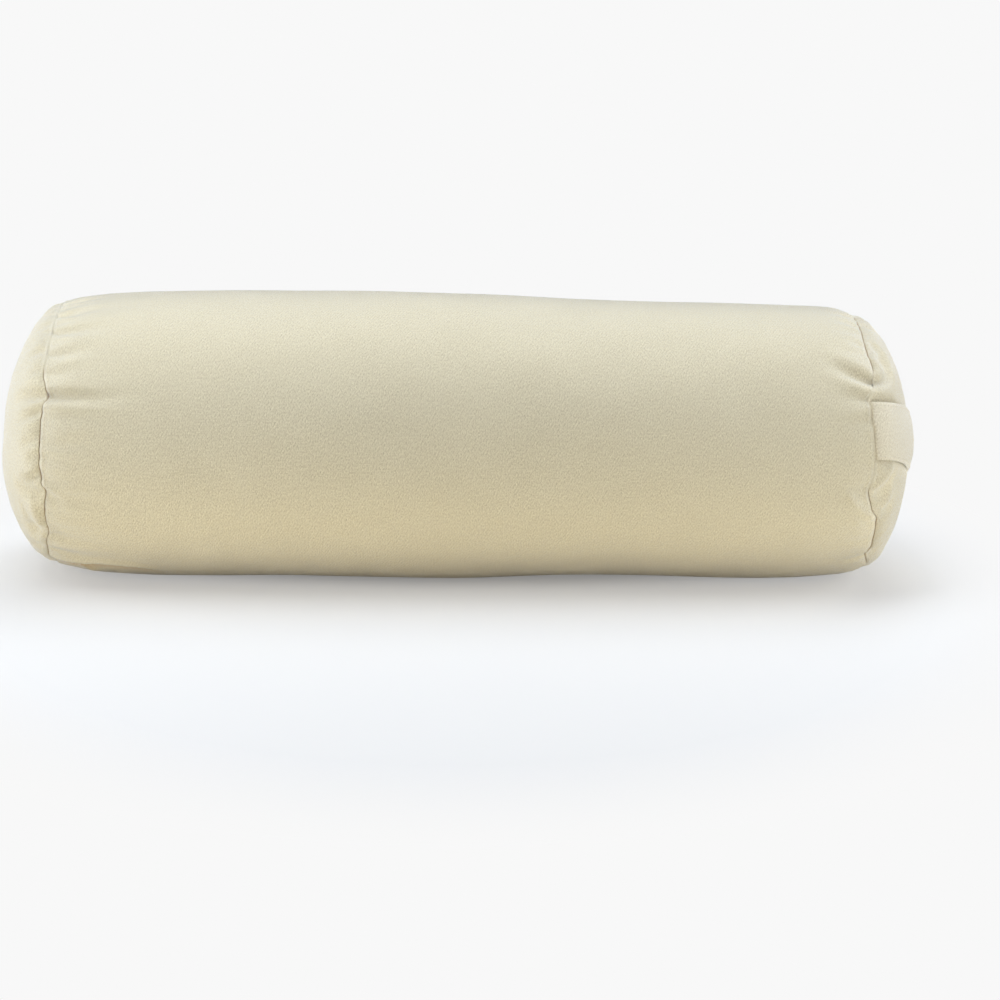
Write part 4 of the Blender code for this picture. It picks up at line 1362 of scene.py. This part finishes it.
def newMaterial(name):
    material = bpy.data.materials.new(name)
    material.use_nodes = True
    tree = material.node_tree
    return material, tree, tree.nodes["Principled BSDF"]


def placed(tree, group, **values):
    return feed(tree, newNode(tree, "Group", node_tree=group), values)


def bumped(tree, shader, height, distance):
    bump = feed(tree, newNode(tree, "Bump"), {"Height": height, "Distance": distance, "Strength": 1.0})
    feed(tree, shader, {"Normal": bump.outputs["Normal"]})


def makeWovenCloth(name, turn=None):
    # woven along the piece's own map, or else along the object's axes after a turn
    finish = finishes[name]
    material, tree, shader = newMaterial(name)
    if turn is None:
        vector = newNode(tree, "UVMap", uv_map="clothMap").outputs["UV"]
    else:
        turned = newNode(tree, "SeparateXYZ")
        feed(tree, turned, {0: stretched(tree, objectPlace(tree), (1, 1, 1), turn)})
        across = {"X": turned.outputs["X"], "Y": turned.outputs["Z"]}
        vector = feed(tree, newNode(tree, "CombineXYZ"), across).outputs[0]
    woven = placed(
        tree, twillWeave, Vector=vector, Thread=finish["thread"], Over=finish["over"], Steep=finish["steep"],
    )
    tone = placed(
        tree, clothTone, Vector=vector, Colour=finish["colour"], Slub=finish["slub"], Mottle=finish["mottle"],
        Weft=woven.outputs["Weft"], Gap=woven.outputs["Gap"], Rib=woven.outputs["Rib"],
    )
    colour = tone.outputs["Colour"]
    if "tucked" in finish:
        # brown painted shade in the seam and under the lap, and a pale painted highlight on the seam's edge and the
        # lap's lip
        colour = blendColour(tree, pointMark(tree, "tuck"), colour, finish["tucked"])
        colour = blendColour(tree, mul(tree, pointMark(tree, "edge"), 0.45), colour, finish["wearAndHighlight"])
    fuzz = tone.outputs["Fuzz"]
    rough = fade(tree, fuzz, 0.0, 1.0, finish["rough"] - 0.06, finish["rough"] + 0.06)
    feed(tree, shader, {"Base Color": colour, "Roughness": rough})
    ribbed = calc(tree, "MULTIPLY_ADD", woven.outputs["Rib"], finish["rib"], woven.outputs["Height"])
    bumped(tree, shader, calc(tree, "MULTIPLY_ADD", fuzz, finish["fuzz"], ribbed), finish["depth"])
    shader.inputs["Sheen Weight"].default_value = finish["sheen"]
    shader.inputs["Sheen Roughness"].default_value = finish["sheenRough"]
    shader.inputs["Specular IOR Level"].default_value = 0.3
    return material


finishes = {
    "naturalTwill": {
        "colour": (0.84, 0.76, 0.535), "thread": 0.00062, "over": 4.0, "steep": 1.7, "rib": 0.40,
        "slub": 0.50, "mottle": 0.45, "rough": 0.88,
        # the brown is painted shade for the seam groove and under the lap, the pale colour a painted highlight for the
        # seam's edge and the lap's lip
        "tucked": (0.66, 0.43, 0.18), "wearAndHighlight": (0.96, 0.87, 0.64),
        "fuzz": 2.2, "depth": 0.00024, "sheen": 1.0, "sheenRough": 0.38,
    },
    "strapTwill": {
        "colour": (0.83, 0.755, 0.56), "thread": 0.00058, "over": 4.0, "steep": 1.7, "rib": 0.35,
        "slub": 0.45, "mottle": 0.30, "rough": 0.86,
        "fuzz": 1.4, "depth": 0.00018, "sheen": 1.0, "sheenRough": 0.38,
    },
    "linerMuslin": {
        "colour": (0.84, 0.81, 0.72), "thread": 0.00070, "over": 2.0, "steep": 1.0, "rib": 0.0,
        "slub": 0.30, "mottle": 0.4, "rough": 0.9,
        "fuzz": 0.6, "depth": 0.00015, "sheen": 0.3, "sheenRough": 0.5,
    },
    "zipTapeWeave": {
        "colour": (0.86, 0.79, 0.62), "thread": 0.00042, "over": 2.0, "steep": 1.2, "rib": 0.2,
        "slub": 0.18, "mottle": 0.2, "rough": 0.82,
        "fuzz": 0.3, "depth": 0.00012, "sheen": 0.25, "sheenRough": 0.4,
    },
}


def makeBatting(name, colour, scale, depth):
    # loose combed fibres in every direction
    material, tree, shader = newMaterial(name)
    vector = objectPlace(tree)
    fibreA = noise(tree, stretched(tree, vector, (1, 7, 7), (0.3, 0.2, 0.5)), scale, 4.0, 0.7)
    fibreB = noise(tree, stretched(tree, vector, (7, 1, 7), (0.9, 0.4, 1.1)), scale, 4.0, 0.7)
    tufts = noise(tree, vector, 45, 3.0, 0.55)
    fibres = add(tree, fibreA, fibreB)
    height = add(tree, mul(tree, fibres, 0.5), mul(tree, tufts, 1.6))
    shadow = fade(tree, fibres, 0.72, 1.18)
    deep = tuple(channel * 0.82 for channel in colour)
    rough = fade(tree, tufts, 0.3, 0.7, 0.86, 0.97)
    feed(tree, shader, {"Base Color": blendColour(tree, shadow, deep, colour), "Roughness": rough})
    shader.inputs["Sheen Weight"].default_value = 0.4
    bumped(tree, shader, height, depth)
    return material


def makeCoreFilling():
    # firm rolled filling with small pores
    material, tree, shader = newMaterial("firmFilling")
    place = objectPlace(tree)
    pores = feed(tree, newNode(tree, "TexVoronoi"), {"Vector": place, "Scale": 620})
    cloud = noise(tree, place, 30, 3.0)
    pit = fade(tree, pores.outputs["Distance"], 0.1, 0.55)
    tone = add(tree, mul(tree, pit, 0.7), mul(tree, cloud, 0.3))
    # the pores are painted darker, as shade, over a random cloud
    colour = blendColour(tree, tone, (0.62, 0.60, 0.53), (0.84, 0.82, 0.76))
    feed(tree, shader, {"Base Color": colour, "Roughness": fade(tree, cloud, 0.3, 0.7, 0.84, 0.94)})
    bumped(tree, shader, pit, 0.0003)
    return material


def makeThread(name, colour):
    # twisted sewing cotton
    material, tree, shader = newMaterial(name)
    place = objectPlace(tree)
    fine = noise(tree, place, 2600, 2.0, 0.6)
    cloud = noise(tree, place, 300)
    deep = tuple(channel * 0.78 for channel in colour)
    share = fade(tree, add(tree, fine, cloud), 0.75, 1.2)
    rough = fade(tree, fine, 0.3, 0.7, 0.6, 0.75)
    feed(tree, shader, {"Base Color": blendColour(tree, share, deep, colour), "Roughness": rough})
    shader.inputs["Sheen Weight"].default_value = 0.3
    bumped(tree, shader, fine, 0.00006)
    return material


def makeZipPlastic():
    material, tree, shader = newMaterial("mouldedTeeth")
    place = objectPlace(tree)
    fine = noise(tree, place, 1400, 3.0, 0.6)
    cloud = noise(tree, place, 60)
    share = fade(tree, add(tree, mul(tree, fine, 0.4), mul(tree, cloud, 0.6)), 0.35, 0.65)
    colour = blendColour(tree, share, (0.78, 0.70, 0.53), (0.88, 0.81, 0.66))
    feed(tree, shader, {"Base Color": colour, "Roughness": fade(tree, fine, 0.3, 0.7, 0.34, 0.5)})
    bumped(tree, shader, fine, 0.00003)
    return material


def makeZipBrass():
    # dull plated brass, rubbed brighter in scattered streaks
    material, tree, shader = newMaterial("dullBrass")
    vector = objectPlace(tree)
    scratches = noise(tree, stretched(tree, vector, (1, 9, 9)), 900, 3.0, 0.6)
    cloud = noise(tree, vector, 210, 3.0, 0.6)
    wearAndHighlight = mul(tree, fade(tree, scratches, 0.50, 0.70), fade(tree, cloud, 0.45, 0.75))
    base = blendColour(tree, fade(tree, cloud, 0.25, 0.75), (0.47, 0.35, 0.165), (0.60, 0.46, 0.235))
    colour = blendColour(tree, wearAndHighlight, base, (0.76, 0.63, 0.38))
    rough = fade(tree, scratches, 0.3, 0.7, 0.30, 0.46)
    feed(tree, shader, {"Base Color": colour, "Metallic": 1.0, "Roughness": rough})
    bumped(tree, shader, scratches, 0.00002)
    return material


zipTack = {
    "lengthLeft": 0.0118,
    "lengthRight": 0.0144,
    "endSlice": 0.0006,
    "lower": 0.00012,
    "overlap": 0.0002,
    "bevel": 0.0003,
}


def tapeEnd(node, side):
    # a tape's end at one side of the bolster: along it, across the zip and out of it
    points = pointsOf(nodes[node].data)
    at = side * points[:, 0]
    end = points[at > at.max() - zipTack["endSlice"]]
    across = end[:, 2] * math.cos(zipAngle) - end[:, 1] * math.sin(zipAngle)
    outward = end[:, 1] * math.cos(zipAngle) + end[:, 2] * math.sin(zipAngle)
    return end[:, 0].mean(), across.min(), across.max(), outward.min(), outward.max()


def makeZipTack(name, side):
    # the tapes' ends are sewn across, which closes the gap between them past the stops
    upper, lower = tapeEnd("zip_tape_upper", side), tapeEnd("zip_tape_lower", side)
    far = tapeEnd("zip_tape_upper", -side)
    clearSelection()
    bpy.ops.mesh.primitive_cube_add(size=1)
    tack = named(name)
    corners = pointsOf(tack.data) + 0.5
    x = upper[0] - side * zipTack[sided("length", side)] * corners[:, 0]
    drift = (x - upper[0]) / (far[0] - upper[0])
    low, high = lower[2] - zipTack["overlap"], upper[1] + zipTack["overlap"]
    across = low + (high - low) * corners[:, 1] + drift * (far[1] - upper[1])
    thick = upper[4] - upper[3] - zipTack["lower"] * 2
    outward = upper[3] + zipTack["lower"] + thick * corners[:, 2] + drift * (far[3] - upper[3])
    y = outward * math.cos(zipAngle) - across * math.sin(zipAngle)
    z = outward * math.sin(zipAngle) + across * math.cos(zipAngle)
    movePoints(tack, np.stack([x, y, z], axis=-1))
    startEdit()
    bpy.ops.mesh.normals_make_consistent(inside=False)
    bpy.ops.mesh.bevel(offset=zipTack["bevel"], segments=2, affect="EDGES")
    endEdit()
    return tack


twillCloth = makeWovenCloth("naturalTwill")
strapCloth = makeWovenCloth("strapTwill")
zipTurn = (-zipAngle, 0, 0)
innerCloths = {
    "liner": makeWovenCloth("linerMuslin", zipTurn),
    "battingRoll": makeBatting("rolledBatting", (0.90, 0.88, 0.81), 130, 0.0012),
    "battingPad": makeBatting("loosePad", (0.91, 0.88, 0.80), 100, 0.0015),
}
tapeCloth = makeWovenCloth("zipTapeWeave", zipTurn)
for material, kept in (
    (tapeCloth, ("zip_tape_upper", "zip_tape_lower")),
    (makeZipPlastic(), ("zip_teeth_upper", "zip_teeth_lower")),
    (makeZipBrass(), ("zip_top_stop_upper", "zip_top_stop_lower", "zip_bottom_stop", "zip_slider", "zip_pull")),
    (makeCoreFilling(), ("fill_core",)),
):
    for node in kept:
        nodes[node].data.materials.clear()
        nodes[node].data.materials.append(material)
print("Materials made")


def dressPadded(piece, material, node):
    dress(piece, material, "bolster", [node])


dressPadded(makeTube(), twillCloth, "cover_body")
dressPadded(makeDome(-1, "leftEndTwill"), twillCloth, "cover_end_left")
dressPadded(makeDome(1, "rightEndTwill"), twillCloth, "cover_end_right")
dress(makeStrap(), strapCloth, "bolster", ["handle_strap"])
strapThread = makeThread("strapThread", (0.86, 0.77, 0.58))
dress(makeStitches("strapStitches", strapStitchPlaces()), strapThread, "bolster")
dress(makeStitches("hemStitches", hemStitchPlaces()), strapThread, "bolster")
for name, side in (("zipTackLeft", -1), ("zipTackRight", 1)):
    dress(makeZipTack(name, side), tapeCloth, "bolster")
print("Stitches sewn")
for name, (node, shrink, cloth) in innerLayers.items():
    dressPadded(makeInnerLayer(name, node, shrink), innerCloths[cloth], node)
print("Cloth pieces made")

# Floor, light and camera

studio = {
    "paper": (0.82, 0.785, 0.71),
    "paperSeen": (0.75, 0.735, 0.705),
    "background": (0.939, 0.939, 0.939, 1),
    "nearGlow": 0.24,
    "openGlow": 0.42,
    "nearShape": (0.22, 1, 1),
    "farShape": (1.2, 1, 1),
    "nearReach": (0.030, 0.075),
    "farReach": (0.36, 0.60),
    "overhead": 49.0,
    "overheadSize": (3.2, 1.0),
    "overheadPlace": (-0.10, 0.14, 1.9),
    "overheadAim": (0, 0.05, 0.1),
    "overheadColour": (0.93, 1.0, 1.11),
    "sideLeft": 9.0,
    "sideRight": 9.5,
    "sideColour": (0.94, 0.99, 1.075),
    "sidePlace": (1.35, -0.1, 0.55),
    "sideAim": (0.3, 0, 0.12),
    "sideSize": (1.0, 1.0),
    "edgeLeft": 0.80,
    "edgeRight": 0.82,
    "edgePlace": (0.75, -0.45, 0.15),
    "edgeAim": (0.36, -0.05, 0.117),
    "edgeSize": (0.35, 0.25),
    "tall": 1.0,
    "tallColour": (1.45, 0.94, 0.40),
    "tallPlace": (0, 2.5, 0.55),
    "tallAim": (0, 0, 0.1),
    "tallSize": (3.4, 1.1),
    "low": 0.10,
    "lowColour": (1.15, 0.99, 0.60),
    "lowPlace": (0, 0.165, 0.004),
    "lowAim": (0, 0.12, 0.09),
    "lowSize": (0.70, 0.07),
}


def seenBy(tree):
    # the plain background is for what the camera sees, directly or in a reflection
    path = newNode(tree, "LightPath")
    glossy = calc(tree, "MAXIMUM", path.outputs["Is Glossy Ray"], path.outputs["Is Transmission Ray"])
    return calc(tree, "MAXIMUM", path.outputs["Is Camera Ray"], glossy)


def mixShaders(tree, share, first, second, output):
    mix = feed(tree, newNode(tree, "MixShader"), {0: share, 1: first.outputs[0], 2: second.outputs[0]})
    feed(tree, output, {"Surface": mix.outputs[0]})


def makeFloor():
    clearSelection()
    bpy.ops.mesh.primitive_plane_add(size=14)
    floor = named("paperFloor")
    material, tree, _ = newMaterial("whitePaper")
    tree.nodes.clear()
    seen = seenBy(tree)
    paper = blendColour(tree, seen, studio["paper"], studio["paperSeen"])
    diffuse = feed(tree, newNode(tree, "BsdfDiffuse"), {"Color": paper})
    glow = feed(tree, newNode(tree, "Emission"), {"Color": studio["background"]})
    # the paper glows paler further from where the bolster touches it, painted light that lifts its shadow
    lengths = []
    for scale in (studio["nearShape"], studio["farShape"]):
        measured = newNode(tree, "VectorMath", operation="LENGTH")
        feed(tree, measured, {0: stretched(tree, objectPlace(tree), scale)})
        lengths.append(measured.outputs["Value"])
    near = fade(tree, lengths[0], *studio["nearReach"], studio["nearGlow"], studio["openGlow"])
    far = fade(tree, lengths[1], *studio["farReach"])
    share = mul(tree, calc(tree, "MAXIMUM", near, far), seen)
    mixShaders(tree, share, diffuse, glow, newNode(tree, "OutputMaterial"))
    floor.data.materials.append(material)


def makeWorld():
    world = bpy.data.worlds.new("studio")
    bpy.context.scene.world = world
    world.use_nodes = True
    tree = world.node_tree
    tree.nodes.clear()
    # all light comes from the lamps, so the world gives none and is only seen
    unlit = feed(tree, newNode(tree, "Background"), {"Strength": 0.0})
    plain = feed(tree, newNode(tree, "Background"), {"Color": studio["background"]})
    mixShaders(tree, seenBy(tree), unlit, plain, newNode(tree, "OutputWorld"))


def addSoftbox(name, place, target, size, power, colour):
    data = bpy.data.lights.new(name, "AREA")
    data.shape = "RECTANGLE"
    data.size, data.size_y = size
    data.energy = power
    data.color = colour
    lamp = bpy.data.objects.new(name, data)
    bpy.context.scene.collection.objects.link(lamp)
    lamp.location = place
    lamp.rotation_euler = (Vector(target) - Vector(place)).to_track_quat("-Z", "Y").to_euler()
    lamp.visible_camera = False


def endLamp(kind, side, name):
    # a lamp off one end of the bolster
    place, target = ((side * at[0], *at[1:]) for at in (studio[kind + "Place"], studio[kind + "Aim"]))
    addSoftbox(name, place, target, studio[kind + "Size"], studio[sided(kind, side)], studio["sideColour"])


def longLamp(kind, side, name):
    # a lamp along the bolster, behind it or in front of it
    place, target = ((at[0], side * at[1], at[2]) for at in (studio[kind + "Place"], studio[kind + "Aim"]))
    addSoftbox(name, place, target, studio[kind + "Size"], studio[kind], studio[kind + "Colour"])


cameraSetup = {
    "distance": 1.84,
    "elevation": 12.0,
    "x": 0.0335,
    "height": 0.1199,
    "lens": 80.1,
    "sensor": 36,
    "frame": 1000,
    "aimY": 427.9,
    "roll": 0.30,
}


def makeCamera():
    data = bpy.data.cameras.new("camera")
    data.lens = cameraSetup["lens"]
    data.sensor_width = cameraSetup["sensor"]
    data.clip_end = 50
    camera = bpy.data.objects.new("camera", data)
    bpy.context.scene.collection.objects.link(camera)
    elevation = math.radians(cameraSetup["elevation"])
    target = Vector((cameraSetup["x"], 0, cameraSetup["height"]))
    camera.location = target + Vector((0, -math.cos(elevation), math.sin(elevation))) * cameraSetup["distance"]
    # aimY is the target's row in a square frame
    focal = data.lens / cameraSetup["sensor"] * cameraSetup["frame"]
    pitch = math.pi / 2 - elevation - math.atan((cameraSetup["frame"] / 2 - cameraSetup["aimY"]) / focal)
    look = Matrix.Rotation(pitch, 4, "X") @ Matrix.Rotation(math.radians(cameraSetup["roll"]), 4, "Z")
    camera.rotation_euler = look.to_euler()
    bpy.context.scene.camera = camera


makeFloor()
makeWorld()
longLamp("overhead", 1, "overhead")
endLamp("side", -1, "leftCard")
endLamp("side", 1, "rightCard")
for side in (-1, 1):
    endLamp("edge", side, "edgeCard")
for side in (-1, 1):
    longLamp("tall", side, "tallCard")
    longLamp("low", side, "floorCard")
makeCamera()
bpy.context.scene.view_settings.view_transform = "Standard"
print("Studio set")
